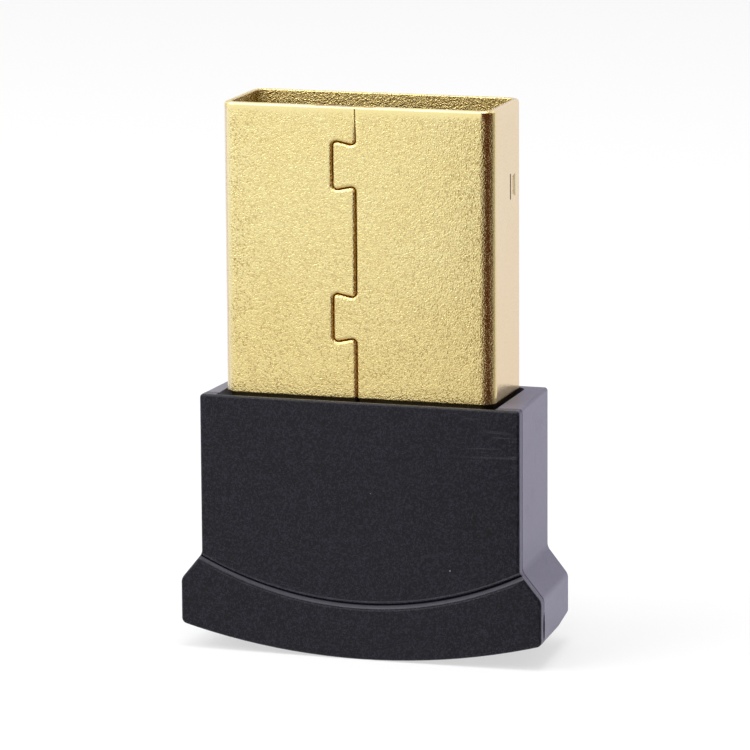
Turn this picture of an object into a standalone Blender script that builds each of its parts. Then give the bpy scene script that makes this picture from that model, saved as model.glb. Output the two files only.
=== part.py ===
"""A small wireless USB adapter: a gold-plated plug shell with a folded seam, held in a black
two-piece housing with a flared foot and a curved end. It stands on its curved end, plug up.

Metres, +Z up. The front, with the seam and the groove, faces -Y. The origin is under the
middle of the housing, at the lowest point of its curved end."""

import math

import bmesh
import bpy
from mathutils import Matrix, Vector

MM = 0.001

# Plug shell, the standard size of a type A plug
SHELL_WIDTH = 12.0 * MM
SHELL_DEPTH = 4.5 * MM
SHEET = 0.3 * MM
SHELL_CORNER = 0.5 * MM
MOUTH_ROUND = 0.12 * MM
PLUG_REACH = 12.55 * MM
SHELL_END = 7.9 * MM
LEG_WIDTH = 1.8 * MM
LEG_LENGTH = 1.6 * MM

# Seam of the folded sheet: a straight slit with two dovetail tabs
SEAM_GAP = 0.04 * MM
SEAM_SIDE = -0.05 * MM
TAB_REACH = 1.02 * MM
TAB_ROOT = 1.72 * MM
TAB_TIP = 2.14 * MM
TAB_CORNER = 0.25 * MM
FIRST_TAB = 2.53 * MM
TAB_PITCH = 6.52 * MM

# Latch windows in the back wall and the pressed dimple in each narrow wall
WINDOW_WIDTH = 2.5 * MM
WINDOW_LENGTH = 2.0 * MM
WINDOW_FROM_MOUTH = 5.16 * MM
WINDOW_SPACING = 6.5 * MM
WINDOW_CORNER = 0.2 * MM
DIMPLE_LENGTH = 1.2 * MM
DIMPLE_WIDTH = 0.8 * MM
DIMPLE_DEPTH = 0.06 * MM
DIMPLE_TIP = (1, 0.7, 0.8)
DIMPLE_FROM_MOUTH = 3.55 * MM
DIMPLE_OFFSET = 0.85 * MM

# Contact carrier: a tongue along the seam wall and a block that fills the shell's root
CARRIER_GAP = 0.05 * MM
TONGUE_THICKNESS = 1.9 * MM
TONGUE_RECESS = 0.8 * MM
TONGUE_ROUND = 0.25 * MM
BLOCK_LENGTH = 2.2 * MM
BLOCK_SETBACK = 0.2 * MM

# Contacts, bent from strip, with their tails on the circuit board
CONTACT_WIDTH = 1.0 * MM
CONTACT_THICKNESS = 0.25 * MM
CONTACT_RECESS = 0.06 * MM
CONTACT_GAP = 0.03 * MM
CONTACT_HOOK = 0.7 * MM
DATA_OFFSET = 1.0 * MM
POWER_OFFSET = 3.5 * MM
POWER_FROM_TIP = 0.7 * MM
DATA_LAG = 1.0 * MM
TAIL_LENGTH = 1.5 * MM

# Housing
FRONT_THICKNESS = 0.52 * MM
PLUG_FRONT_GAP = 0.09 * MM
PLUG_BACK_GAP = 0.05 * MM
PLUG_SIDE_GAP = 0.2 * MM
PLUG_BACK_WALL = 0.34 * MM
PLUG_SIDE_WALL = 0.9 * MM
PLUG_SHIFT = -0.19 * MM
HOUSING_HEIGHT = 11.2 * MM
FLARE_TOP = 4.2 * MM
FLARE_HEIGHT = 1.16 * MM
FLARE_OUT = 0.95 * MM
END_RADIUS = 30.0 * MM
FLARE_ROUND = 0.15 * MM
END_ROUND = 0.2 * MM
TOP_ROUND = 0.15 * MM
EDGE_ROUND = 0.12 * MM
PARTING_GAP = 0.06 * MM
REAR_STEP = 0.02 * MM
REAR_DRAFT = math.radians(2.8)
END_RELIEF = 0.2 * MM
END_RELIEF_DEPTH = 1.8 * MM
WALL = 0.7 * MM
BACK_WALL = 0.6 * MM
TOP_WALL = 0.9 * MM

# Groove across the front and the pry notch in the parting line
GROOVE_RADIUS = 16.0 * MM
GROOVE_WIDTH = 0.3 * MM
GROOVE_DEPTH = 0.14 * MM
GROOVE_DROP = 0.17 * MM
NOTCH_LENGTH = 1.6 * MM
NOTCH_WIDTH = 0.36 * MM
NOTCH_DEPTH = 0.45 * MM
NOTCH_HEIGHT = 1.85 * MM

# Joint of the two covers: pins in bosses, and a lip inside the walls
PIN_RADIUS = 0.4 * MM
PIN_LENGTH = 1.6 * MM
PIN_GAP = 0.05 * MM
BOSS_RADIUS = 0.8 * MM
BOSS_HEIGHT_UP = 2.9 * MM
BOSS_FROM_FLARE = 1.5 * MM
BOSS_SETBACK = 0.25 * MM
LIP_THICKNESS = 0.35 * MM
LIP_DEPTH = 0.7 * MM
LIP_GAP = 0.09 * MM

# Circuit board and the rails that clamp it
BOARD_THICKNESS = 0.8 * MM
BOARD_GAP = 0.15 * MM
BOARD_END_GAP = 0.35 * MM
BOARD_ROUND = 0.3 * MM
RAIL_WIDTH = 0.5 * MM
RAIL_LENGTH = 1.3 * MM
RAIL_GAP = 0.04 * MM

# Parts on the board
SOLDER_GAP = 0.02 * MM
RADIO_SIDE = 4.0 * MM
RADIO_HEIGHT = 0.75 * MM
RADIO_PADS = 7
RADIO_PAD_PITCH = 0.5 * MM
CRYSTAL_SIZE = (2.5 * MM, 2.0 * MM, 0.6 * MM)
MEMORY_SIZE = (2.0 * MM, 1.4 * MM, 0.6 * MM)
REGULATOR_SIZE = (1.6 * MM, 1.2 * MM, 0.85 * MM)
INDUCTOR_SIZE = (1.6 * MM, 0.8 * MM, 0.8 * MM)
FILTER_SIZE = (1.6 * MM, 0.8 * MM, 0.6 * MM)
CAPACITOR_SIZE = (1.0 * MM, 0.5 * MM, 0.5 * MM)
RESISTOR_SIZE = (1.0 * MM, 0.5 * MM, 0.35 * MM)
PART_SPACING = 0.3 * MM
CHIP_EDGE = 0.05 * MM
PAD_OUT = 0.03 * MM
PAD_UP = 0.06 * MM
MARK_SIDE = 0.5 * MM
MARK_DEPTH = 0.05 * MM
MARK_INSET = 0.7 * MM
LEAD_THICKNESS = 0.12 * MM
LEAD_WIDTH = 0.3 * MM
LEAD_REACH = 0.35 * MM
STAND_OFF = 0.1 * MM
CAP_GROWTH = 0.02 * MM
LID_RIM = 0.15 * MM
LID_ROUND = 0.08 * MM
ANTENNA_WIDTH = 0.25 * MM
ANTENNA_THICKNESS = 0.06 * MM
ANTENNA_HEIGHT = 0.9 * MM
ANTENNA_PITCH = 0.75 * MM
ANTENNA_TURNS = 9
ANTENNA_MARGIN = 0.2 * MM

# How far a cutter or a joined piece reaches past the face that it meets
OVERLAP = 0.1 * MM
MERGE = 0.0001 * MM
FLAT_ANGLE = math.radians(0.4)
ARC_STEPS = 7
END_STEPS = 32

# Places worked out from the sizes
TOTAL_HEIGHT = HOUSING_HEIGHT + PLUG_REACH
PLUG_LENGTH = TOTAL_HEIGHT - SHELL_END
COVER_WIDTH = SHELL_WIDTH + 2 * (PLUG_SIDE_GAP + PLUG_SIDE_WALL)
HOUSING_DEPTH = FRONT_THICKNESS + PLUG_FRONT_GAP + SHELL_DEPTH + PLUG_BACK_GAP + PLUG_BACK_WALL
FRONT_FACE = -HOUSING_DEPTH / 2
FRONT_INSIDE = FRONT_FACE + FRONT_THICKNESS
REAR_RIM = FRONT_INSIDE + PARTING_GAP
REAR_FACE = HOUSING_DEPTH / 2
REAR_INSIDE = REAR_FACE - BACK_WALL
PLUG_MIDDLE = FRONT_INSIDE + PLUG_FRONT_GAP + SHELL_DEPTH / 2
REAR_HALF = COVER_WIDTH / 2 - REAR_STEP
BOSS_SIDE = COVER_WIDTH / 2 + FLARE_OUT - BOSS_FROM_FLARE

# In the plug's own frame: origin on its middle line at the mouth, -Z into the housing
SEAM_INSIDE = -SHELL_DEPTH / 2 + SHEET
TONGUE_FRONT = SEAM_INSIDE + CARRIER_GAP
TONGUE_FACE = TONGUE_FRONT + TONGUE_THICKNESS
CONTACT_TOP = TONGUE_FACE - CONTACT_RECESS
CONTACT_BOTTOM = CONTACT_TOP - CONTACT_THICKNESS
BLOCK_END = -PLUG_LENGTH + BLOCK_SETBACK
BLOCK_START = BLOCK_END + BLOCK_LENGTH
BOARD_REAR = CONTACT_BOTTOM - SOLDER_GAP
BOARD_FRONT = BOARD_REAR - BOARD_THICKNESS
BOARD_TOP = BLOCK_END - BOARD_GAP


def cleared_scene():
    for old in list(bpy.data.objects):
        bpy.data.objects.remove(old)
    collections = []
    for name in ("wireless_adapter", "cutters"):
        collection = bpy.data.collections.new(name)
        bpy.context.scene.collection.children.link(collection)
        collections.append(collection)
    collections[1].hide_render = True
    return collections


PARTS, CUTTERS = cleared_scene()


def material(name, colour, roughness, metallic=0.0):
    made = bpy.data.materials.new(name)
    made.use_nodes = True
    shader = made.node_tree.nodes["Principled BSDF"]
    shader.inputs["Base Color"].default_value = (*colour, 1.0)
    shader.inputs["Roughness"].default_value = roughness
    shader.inputs["Metallic"].default_value = metallic
    return made


def frame(name, location):
    """An empty that carries the pieces modelled in its frame."""
    empty = bpy.data.objects.new(name, None)
    empty.location = location
    empty.empty_display_size = 2 * MM
    PARTS.objects.link(empty)
    return empty


def as_part(obj, parent, finish):
    PARTS.objects.link(obj)
    obj.parent = parent
    obj.data.materials.clear()
    obj.data.materials.append(finish)
    return obj


def helper(obj, parent=None):
    """A cutter or a joined piece, left out of the finished object."""
    CUTTERS.objects.link(obj)
    obj.parent = parent
    obj.hide_render = True
    obj.display_type = "WIRE"
    return obj


def combine(target, other, operation):
    modifier = target.modifiers.new(operation.lower(), "BOOLEAN")
    modifier.operation = operation
    modifier.object = other
    modifier.solver = "EXACT"
    return target


def cut(target, other, parent=None):
    return combine(target, helper(other, parent), "DIFFERENCE")


def join(target, other, parent=None):
    return combine(target, helper(other, parent), "UNION")


def soften(obj, width, segments=2, angle=math.radians(40)):
    modifier = obj.modifiers.new("edges", "BEVEL")
    modifier.width = width
    modifier.segments = segments
    modifier.limit_method = "ANGLE"
    modifier.angle_limit = angle
    modifier.use_clamp_overlap = False
    return obj


def smooth(obj, angle=math.radians(35)):
    obj.data.shade_smooth()
    obj.data.set_sharp_from_angle(angle=angle)
    return obj


def arc(centre, radius, start, end, steps=ARC_STEPS):
    return [
        (
            centre[0] + radius * math.cos(start + (end - start) * i / steps),
            centre[1] + radius * math.sin(start + (end - start) * i / steps),
        )
        for i in range(steps + 1)
    ]


def rounded(corners, closed=True):
    """The outline through corners (u, v, radius), each rounded by an arc of its radius."""
    points = []
    count = len(corners)
    for i, (u, v, radius) in enumerate(corners):
        corner = Vector((u, v))
        if radius <= 0 or (not closed and i in (0, count - 1)):
            points.append((u, v))
            continue
        before = (Vector(corners[i - 1][:2]) - corner).normalized()
        after = (Vector(corners[(i + 1) % count][:2]) - corner).normalized()
        half = before.angle(after) / 2
        middle = corner + (before + after).normalized() * (radius / math.sin(half))
        first = corner + before * (radius / math.tan(half)) - middle
        last = corner + after * (radius / math.tan(half)) - middle
        start = math.atan2(first.y, first.x)
        turn = (math.atan2(last.y, last.x) - start + math.pi) % (2 * math.pi) - math.pi
        points += arc(middle, radius, start, start + turn)
    return points


def inset(corners, distance):
    """The same closed outline, its sides moved inwards. Corners run anticlockwise."""
    moved = []
    count = len(corners)
    for i, (u, v, radius) in enumerate(corners):
        corner = Vector((u, v))
        before = (corner - Vector(corners[i - 1][:2])).normalized()
        after = (Vector(corners[(i + 1) % count][:2]) - corner).normalized()
        inward = Vector((-before.y - after.y, before.x + after.x)).normalized()
        stretch = inward.dot(Vector((-before.y, before.x)))
        place = corner + inward * (distance / stretch)
        turn = before.x * after.y - before.y * after.x
        kept = max(radius - distance, 0.1 * MM) if turn > 0 else radius + distance
        moved.append((place.x, place.y, kept if radius > 0 else 0))
    return moved


def ribbon(path, width):
    """The closed outline of a band of this width along a path."""
    left, right = [], []
    for i, place in enumerate(path):
        before = Vector(place) - Vector(path[max(i - 1, 0)])
        after = Vector(path[min(i + 1, len(path) - 1)]) - Vector(place)
        before = (before if before.length else after).normalized()
        after = (after if after.length else before).normalized()
        side = Vector((-before.y - after.y, before.x + after.x)).normalized()
        side *= width / 2 / side.dot(Vector((-before.y, before.x)))
        left.append(tuple(Vector(place) + side))
        right.append(tuple(Vector(place) - side))
    return left + right[::-1]


def box_outline(width, height, centre=(0, 0), radius=0):
    half_u, half_v = width / 2, height / 2
    return rounded(
        [
            (centre[0] - half_u, centre[1] - half_v, radius),
            (centre[0] + half_u, centre[1] - half_v, radius),
            (centre[0] + half_u, centre[1] + half_v, radius),
            (centre[0] - half_u, centre[1] + half_v, radius),
        ]
    )


TURNED = {
    "X": Matrix.Rotation(math.pi / 2, 4, "Z") @ Matrix.Rotation(math.pi / 2, 4, "X"),
    "Y": Matrix.Rotation(math.pi / 2, 4, "X"),
    "Z": Matrix.Identity(4),
}


def prism(name, outlines, axis, low, high):
    """A mesh object: flat outlines filled and extruded along an axis. An outline inside
    another is a hole. The flat outlines' points are (Y, Z), (X, Z) or (X, Y)."""
    flat = bpy.data.curves.new(name, "CURVE")
    flat.dimensions = "2D"
    flat.fill_mode = "BOTH"
    flat.extrude = (high - low) / 2
    for outline in outlines:
        spline = flat.splines.new("POLY")
        spline.points.add(len(outline) - 1)
        for point, (u, v) in zip(spline.points, outline):
            point.co = (u, v, 0, 1)
        spline.use_cyclic_u = True
    guide = bpy.data.objects.new(name, flat)
    middle = (low + high) / 2
    along = {"X": (middle, 0, 0), "Y": (0, middle, 0), "Z": (0, 0, middle)}[axis]
    guide.matrix_world = Matrix.Translation(along) @ TURNED[axis]
    CUTTERS.objects.link(guide)
    bpy.context.view_layer.update()
    graph = bpy.context.evaluated_depsgraph_get()
    mesh = bpy.data.meshes.new_from_object(guide.evaluated_get(graph))
    mesh.name = name
    place = guide.matrix_world.copy()
    bpy.data.objects.remove(guide)
    bpy.data.curves.remove(flat)
    made = bpy.data.objects.new(name, mesh)
    made.matrix_world = place
    shape = bmesh.new()
    shape.from_mesh(mesh)
    bmesh.ops.remove_doubles(shape, verts=shape.verts, dist=MERGE)
    bmesh.ops.dissolve_limit(
        shape, angle_limit=FLAT_ANGLE, verts=shape.verts, edges=shape.edges
    )
    bmesh.ops.recalc_face_normals(shape, faces=shape.faces)
    shape.to_mesh(mesh)
    shape.free()
    return made


def block(name, low, high):
    """A box between two corners."""
    shape = bmesh.new()
    bmesh.ops.create_cube(shape, size=1)
    sides = [b - a for a, b in zip(low, high)]
    bmesh.ops.scale(shape, vec=sides, verts=shape.verts)
    mesh = bpy.data.meshes.new(name)
    shape.to_mesh(mesh)
    shape.free()
    made = bpy.data.objects.new(name, mesh)
    made.location = [(a + b) / 2 for a, b in zip(low, high)]
    return made


def rod(name, radius, start, end, x, z, sides=20):
    """A round bar along Y."""
    shape = bmesh.new()
    bmesh.ops.create_cone(
        shape, cap_ends=True, segments=sides, radius1=radius, radius2=radius, depth=end - start
    )
    mesh = bpy.data.meshes.new(name)
    shape.to_mesh(mesh)
    shape.free()
    made = bpy.data.objects.new(name, mesh)
    made.location = (x, (start + end) / 2, z)
    made.rotation_euler = (math.pi / 2, 0, 0)
    return made


def bevelled(obj, chosen, width, segments):
    """Rounds the edges of the mesh that the function picks."""
    shape = bmesh.new()
    shape.from_mesh(obj.data)
    edges = [edge for edge in shape.edges if chosen(edge)]
    bmesh.ops.bevel(
        shape, geom=edges, offset=width, segments=segments, profile=0.5, affect="EDGES"
    )
    shape.to_mesh(obj.data)
    shape.free()
    return obj


# Plug shell


def seam_path():
    """The slit from past the mouth to past the shell's end, in (X, Z) of the plug's frame."""
    line = SEAM_SIDE
    tip = SEAM_SIDE - TAB_REACH
    corners = [(line, OVERLAP, 0)]
    for i in range(2):
        middle = -FIRST_TAB - i * TAB_PITCH
        corners += [
            (line, middle + TAB_ROOT / 2, TAB_CORNER),
            (tip, middle + TAB_TIP / 2, TAB_CORNER),
            (tip, middle - TAB_TIP / 2, TAB_CORNER),
            (line, middle - TAB_ROOT / 2, TAB_CORNER),
        ]
    corners.append((line, -PLUG_LENGTH - LEG_LENGTH - OVERLAP, 0))
    return rounded(corners, closed=False)


def plug_shell(parent, finish):
    end = -PLUG_LENGTH - LEG_LENGTH
    outer = box_outline(SHELL_WIDTH, SHELL_DEPTH, radius=SHELL_CORNER)
    inner = box_outline(
        SHELL_WIDTH - 2 * SHEET, SHELL_DEPTH - 2 * SHEET, radius=SHELL_CORNER - SHEET
    )
    shell = prism("plug_shell", [outer, inner], "Z", end, 0)
    mouth = -end / 2

    def mouth_rim(edge):
        sides = [face for face in edge.link_faces if abs(face.normal.z) < 0.5]
        at_mouth = all(vert.co.z > mouth - SHEET for vert in edge.verts)
        if not at_mouth or len(sides) != 1:
            return False
        return sides[0].normal.dot(sides[0].calc_center_median()) > 0

    bevelled(shell, mouth_rim, MOUTH_ROUND, 3)
    as_part(shell, parent, finish)
    far = SHELL_WIDTH
    for name, low, high in (
        ("leg_space_front", -SHELL_DEPTH, -LEG_WIDTH / 2),
        ("leg_space_back", LEG_WIDTH / 2, SHELL_DEPTH),
    ):
        cut(shell, block(name, (-far, low, end - OVERLAP), (far, high, -PLUG_LENGTH)), parent)
    slit = [ribbon(seam_path(), SEAM_GAP)]
    cut(
        shell,
        prism("seam_slit", slit, "Y", -SHELL_DEPTH / 2 - OVERLAP, SEAM_INSIDE + OVERLAP),
        parent,
    )
    for side, name in ((-1, "window_left"), (1, "window_right")):
        centre = (side * WINDOW_SPACING / 2, -WINDOW_FROM_MOUTH - WINDOW_LENGTH / 2)
        window = box_outline(WINDOW_WIDTH, WINDOW_LENGTH, centre, WINDOW_CORNER)
        cut(shell, prism(name, [window], "Y", 0, SHELL_DEPTH), parent)
    for side, name in ((-1, "left"), (1, "right")):
        wall = side * SHELL_WIDTH / 2
        join(shell, dimple("dimple_boss_" + name, wall - side * SHEET, side, 0), parent)
        cut(shell, dimple("dimple_pit_" + name, wall, side, OVERLAP), parent)
    return smooth(shell)


def dimple(name, wall, side, outward):
    """A flat-topped pressing through the wall at X, sloped on all four sides."""
    shape = bmesh.new()
    bmesh.ops.create_cube(shape, size=1)
    deep, long, wide = DIMPLE_DEPTH + outward, DIMPLE_LENGTH, DIMPLE_WIDTH
    if not outward:
        deep += SHEET / 2
    bmesh.ops.scale(shape, vec=(deep, wide, long), verts=shape.verts)
    tip = [vert for vert in shape.verts if vert.co.x * side < 0]
    bmesh.ops.scale(shape, vec=DIMPLE_TIP, verts=tip)
    mesh = bpy.data.meshes.new(name)
    shape.to_mesh(mesh)
    shape.free()
    made = bpy.data.objects.new(name, mesh)
    start = outward if outward else SHEET / 2
    made.location = (
        wall + side * (start - deep / 2),
        DIMPLE_OFFSET,
        -DIMPLE_FROM_MOUTH,
    )
    return made


# Contact carrier and contacts


def contact_outline(start, grow=0.0):
    """A contact's side profile in (Y, Z): a hooked tip, a straight run and a tail."""
    top = CONTACT_TOP + grow
    bottom = CONTACT_BOTTOM - grow
    hook = bottom - CONTACT_HOOK
    tip = -TONGUE_RECESS - start + grow
    back = tip - CONTACT_THICKNESS - 2 * grow
    tail = BLOCK_END - TAIL_LENGTH - grow
    bend = CONTACT_THICKNESS
    return rounded(
        [
            (top, tail, 0),
            (top, tip, bend + grow),
            (hook, tip, 0),
            (hook, back, 0),
            (bottom, back, bend / 4),
            (bottom, tail, 0),
        ]
    )


def contact_places():
    data_start = POWER_FROM_TIP + DATA_LAG
    return (
        ("contact_ground", -POWER_OFFSET, POWER_FROM_TIP),
        ("contact_data_plus", -DATA_OFFSET, data_start),
        ("contact_data_minus", DATA_OFFSET, data_start),
        ("contact_power", POWER_OFFSET, POWER_FROM_TIP),
    )


def contacts(parent, finish):
    for name, x, start in contact_places():
        low, high = x - CONTACT_WIDTH / 2, x + CONTACT_WIDTH / 2
        as_part(prism(name, [contact_outline(start)], "X", low, high), parent, finish)


def contact_carrier(parent, finish):
    half = SHELL_WIDTH / 2 - SHEET - CARRIER_GAP
    tip = -TONGUE_RECESS
    tongue_half = half - TONGUE_ROUND
    outline = rounded(
        [
            (-half, BLOCK_END, 0),
            (half, BLOCK_END, 0),
            (half, tip, TONGUE_ROUND),
            (-half, tip, TONGUE_ROUND),
        ]
    )
    carrier = prism("contact_carrier", [outline], "Y", TONGUE_FRONT, TONGUE_FACE)
    as_part(soften(carrier, TONGUE_ROUND / 2), parent, finish)
    back = SHELL_DEPTH / 2 - SHEET - CARRIER_GAP
    root = block(
        "carrier_block",
        (-tongue_half, TONGUE_FRONT + OVERLAP, BLOCK_END),
        (tongue_half, back, BLOCK_START),
    )
    join(carrier, soften(root, TONGUE_ROUND), parent)
    for name, x, start in contact_places():
        half_slot = CONTACT_WIDTH / 2 + CONTACT_GAP
        slot = contact_outline(start, CONTACT_GAP)
        pocket = prism(name + "_slot", [slot], "X", x - half_slot, x + half_slot)
        cut(carrier, pocket, parent)
        groove = block(
            name + "_groove",
            (x - half_slot, CONTACT_BOTTOM, BLOCK_START + CONTACT_GAP),
            (x + half_slot, TONGUE_FACE + OVERLAP, tip - start + CONTACT_GAP),
        )
        cut(carrier, groove, parent)
    return carrier


# Covers


def end_height(x, inside=0):
    """Height of the curved end above its lowest point, or of a line inside it."""
    return END_RADIUS - math.sqrt((END_RADIUS - inside) ** 2 - x**2)


def cover_outline(half, top, inside=0):
    """A cover's outline in (X, Z), with its flared foot and curved end, or one inside it."""
    foot = half + FLARE_OUT
    flare_low = FLARE_TOP - FLARE_HEIGHT
    sides = inset(
        [
            (-foot, 0, END_ROUND),
            (foot, 0, END_ROUND),
            (foot, flare_low, FLARE_ROUND),
            (half, FLARE_TOP, FLARE_ROUND),
            (half, top, TOP_ROUND),
            (-half, top, TOP_ROUND),
            (-half, FLARE_TOP, FLARE_ROUND),
            (-foot, flare_low, FLARE_ROUND),
        ],
        inside,
    )
    side, _, radius = sides[1]
    corner_height = end_height(side, inside)
    last = side - 2 * radius
    curve = [-last + 2 * last * i / END_STEPS for i in range(END_STEPS + 1)]
    return rounded(
        [(-side, corner_height, radius)]
        + [(x, end_height(x, inside), 0) for x in curve]
        + [(side, corner_height, radius)]
        + sides[2:]
    )


def drafted(obj, depth, lift=0.0):
    """Narrows a cover towards its back face and lifts the back of its curved end."""
    shape = bmesh.new()
    shape.from_mesh(obj.data)
    if lift:
        start = END_RELIEF_DEPTH - depth / 2
        everything = shape.verts[:] + shape.edges[:] + shape.faces[:]
        bmesh.ops.bisect_plane(shape, geom=everything, plane_co=(0, 0, start), plane_no=(0, 0, 1))
    foot = FLARE_TOP - FLARE_HEIGHT - FLARE_ROUND
    for vert in shape.verts:
        behind_rim = depth / 2 - vert.co.z
        vert.co.x *= 1 - behind_rim * math.tan(REAR_DRAFT) / REAR_HALF
        if behind_rim > depth - OVERLAP and vert.co.y < foot:
            vert.co.y += lift
    shape.to_mesh(obj.data)
    shape.free()
    return obj


def front_cover(parent, finish):
    outline = cover_outline(COVER_WIDTH / 2, HOUSING_HEIGHT)
    cover = prism("front_cover", [outline], "Y", FRONT_FACE, FRONT_INSIDE)
    as_part(cover, parent, finish)
    soften(cover, EDGE_ROUND, 3)
    cut(cover, groove_cutter(), parent)
    cut(cover, pry_notch("pry_notch_front"), parent)
    join(cover, cover_lip(), parent)
    for side, name in ((-1, "left"), (1, "right")):
        pin = rod(
            "pin_" + name,
            PIN_RADIUS,
            FRONT_INSIDE - OVERLAP,
            FRONT_INSIDE + PIN_LENGTH,
            side * BOSS_SIDE,
            BOSS_HEIGHT_UP,
        )
        join(cover, soften(pin, PIN_RADIUS / 4, 1), parent)
        pad_side = board_place(side * rail_side())
        pad = block(
            "board_pad_" + name,
            (pad_side - RAIL_WIDTH / 2, FRONT_INSIDE - OVERLAP, rail_bottom()),
            (
                pad_side + RAIL_WIDTH / 2,
                PLUG_MIDDLE + BOARD_FRONT - RAIL_GAP,
                rail_bottom() + RAIL_LENGTH,
            ),
        )
        join(cover, pad, parent)
    return smooth(cover)


def groove_cutter():
    """A round rod bent along the groove's arc, which runs between the flare's two corners."""
    half = COVER_WIDTH / 2
    centre = FLARE_TOP - GROOVE_DROP + math.sqrt(GROOVE_RADIUS**2 - half**2)
    radius = GROOVE_WIDTH / 2
    reach = math.asin((half + GROOVE_WIDTH) / GROOVE_RADIUS)
    down = -math.pi / 2
    path = arc((0, centre), GROOVE_RADIUS, down - reach, down + reach, END_STEPS)
    wire = bpy.data.curves.new("groove_rod", "CURVE")
    wire.dimensions = "3D"
    wire.bevel_depth = radius
    wire.bevel_resolution = 2
    wire.use_fill_caps = True
    spline = wire.splines.new("POLY")
    spline.points.add(len(path) - 1)
    for point, (x, z) in zip(spline.points, path):
        point.co = (x, FRONT_FACE - radius + GROOVE_DEPTH, z, 1)
    guide = bpy.data.objects.new("groove_rod", wire)
    CUTTERS.objects.link(guide)
    bpy.context.view_layer.update()
    graph = bpy.context.evaluated_depsgraph_get()
    mesh = bpy.data.meshes.new_from_object(guide.evaluated_get(graph))
    bpy.data.objects.remove(guide)
    bpy.data.curves.remove(wire)
    shape = bmesh.new()
    shape.from_mesh(mesh)
    bmesh.ops.remove_doubles(shape, verts=shape.verts, dist=MERGE)
    bmesh.ops.recalc_face_normals(shape, faces=shape.faces)
    shape.to_mesh(mesh)
    shape.free()
    return bpy.data.objects.new("groove_rod", mesh)


def pry_notch(name):
    """A lens-shaped notch in the parting line, low on the right side."""
    middle = (FRONT_INSIDE + REAR_RIM) / 2
    side = COVER_WIDTH / 2 + FLARE_OUT
    bow = NOTCH_WIDTH / 2
    radius = (NOTCH_LENGTH**2 / 4 + bow**2) / (2 * bow)
    sweep = math.asin(NOTCH_LENGTH / 2 / radius)
    near = arc((middle - radius + bow, NOTCH_HEIGHT), radius, -sweep, sweep)
    far = arc((middle + radius - bow, NOTCH_HEIGHT), radius, math.pi - sweep, math.pi + sweep)
    return prism(name, [near + far[1:-1]], "X", side - NOTCH_DEPTH, side + NOTCH_DEPTH)


def cavity_outline(inside=0):
    """The rear cover's inside in (X, Z), or a line inside it."""
    return cover_outline(REAR_HALF, HOUSING_HEIGHT - TOP_WALL + WALL, WALL + inside)


def cover_lip():
    """A rib that follows the inside of the rear cover, with room for the plug and bosses."""
    outlines = [cavity_outline(LIP_GAP), cavity_outline(LIP_GAP + LIP_THICKNESS)]
    lip = prism("lip", outlines, "Y", FRONT_INSIDE - OVERLAP, REAR_RIM + LIP_DEPTH)
    lip_top = SHELL_END - PLUG_BACK_GAP
    far = COVER_WIDTH
    space = block(
        "lip_plug_space",
        (-far, FRONT_INSIDE - 2 * OVERLAP, lip_top),
        (far, REAR_FACE, HOUSING_HEIGHT + OVERLAP),
    )
    cut(lip, space)
    for side, name in ((-1, "left"), (1, "right")):
        ring = rod(
            "lip_boss_space_" + name,
            BOSS_RADIUS + LIP_GAP,
            FRONT_INSIDE - 2 * OVERLAP,
            REAR_FACE,
            side * BOSS_SIDE,
            BOSS_HEIGHT_UP,
        )
        cut(lip, ring)
    return lip


def rear_cover(parent, finish):
    depth = REAR_FACE - REAR_RIM
    outline = cover_outline(REAR_HALF, HOUSING_HEIGHT)
    cover = prism("rear_cover", [outline], "Y", REAR_RIM, REAR_FACE)
    drafted(cover, depth, END_RELIEF)
    as_part(cover, parent, finish)
    soften(cover, EDGE_ROUND, 3)
    cavity = prism("cavity", [cavity_outline()], "Y", REAR_RIM - OVERLAP, REAR_INSIDE)
    cut(cover, drafted(cavity, depth), parent)
    pocket_back = PLUG_MIDDLE + SHELL_DEPTH / 2 + PLUG_BACK_GAP
    pocket_half = SHELL_WIDTH / 2 + PLUG_SIDE_GAP
    pocket = rounded(
        [
            (PLUG_SHIFT - pocket_half, REAR_RIM - OVERLAP, 0),
            (PLUG_SHIFT + pocket_half, REAR_RIM - OVERLAP, 0),
            (PLUG_SHIFT + pocket_half, pocket_back, SHELL_CORNER),
            (PLUG_SHIFT - pocket_half, pocket_back, SHELL_CORNER),
        ]
    )
    low = SHELL_END - PLUG_BACK_GAP
    cut(cover, prism("plug_pocket", [pocket], "Z", low, HOUSING_HEIGHT + OVERLAP), parent)
    leg_space = block(
        "leg_space",
        (PLUG_SHIFT - pocket_half, PLUG_MIDDLE - LEG_WIDTH / 2 - BOARD_GAP, low - LEG_LENGTH),
        (PLUG_SHIFT + pocket_half, PLUG_MIDDLE + LEG_WIDTH / 2 + BOARD_GAP, low + OVERLAP),
    )
    cut(cover, leg_space, parent)
    cut(cover, pry_notch("pry_notch_rear"), parent)
    for side, name in ((-1, "left"), (1, "right")):
        boss_rim = REAR_RIM + BOSS_SETBACK
        boss = rod(
            "boss_" + name,
            BOSS_RADIUS,
            boss_rim,
            REAR_INSIDE + OVERLAP,
            side * BOSS_SIDE,
            BOSS_HEIGHT_UP,
        )
        join(cover, boss, parent)
        hole = rod(
            "boss_hole_" + name,
            PIN_RADIUS + PIN_GAP,
            boss_rim - OVERLAP,
            FRONT_INSIDE + PIN_LENGTH + PIN_GAP,
            side * BOSS_SIDE,
            BOSS_HEIGHT_UP,
        )
        cut(cover, hole, parent)
        rail_x = board_place(side * rail_side())
        rail = block(
            "board_rail_" + name,
            (
                rail_x - RAIL_WIDTH / 2,
                PLUG_MIDDLE + BOARD_REAR + RAIL_GAP,
                rail_bottom(),
            ),
            (rail_x + RAIL_WIDTH / 2, REAR_INSIDE + OVERLAP, rail_bottom() + RAIL_LENGTH),
        )
        join(cover, rail, parent)
    return smooth(cover)


# Circuit board


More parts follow.
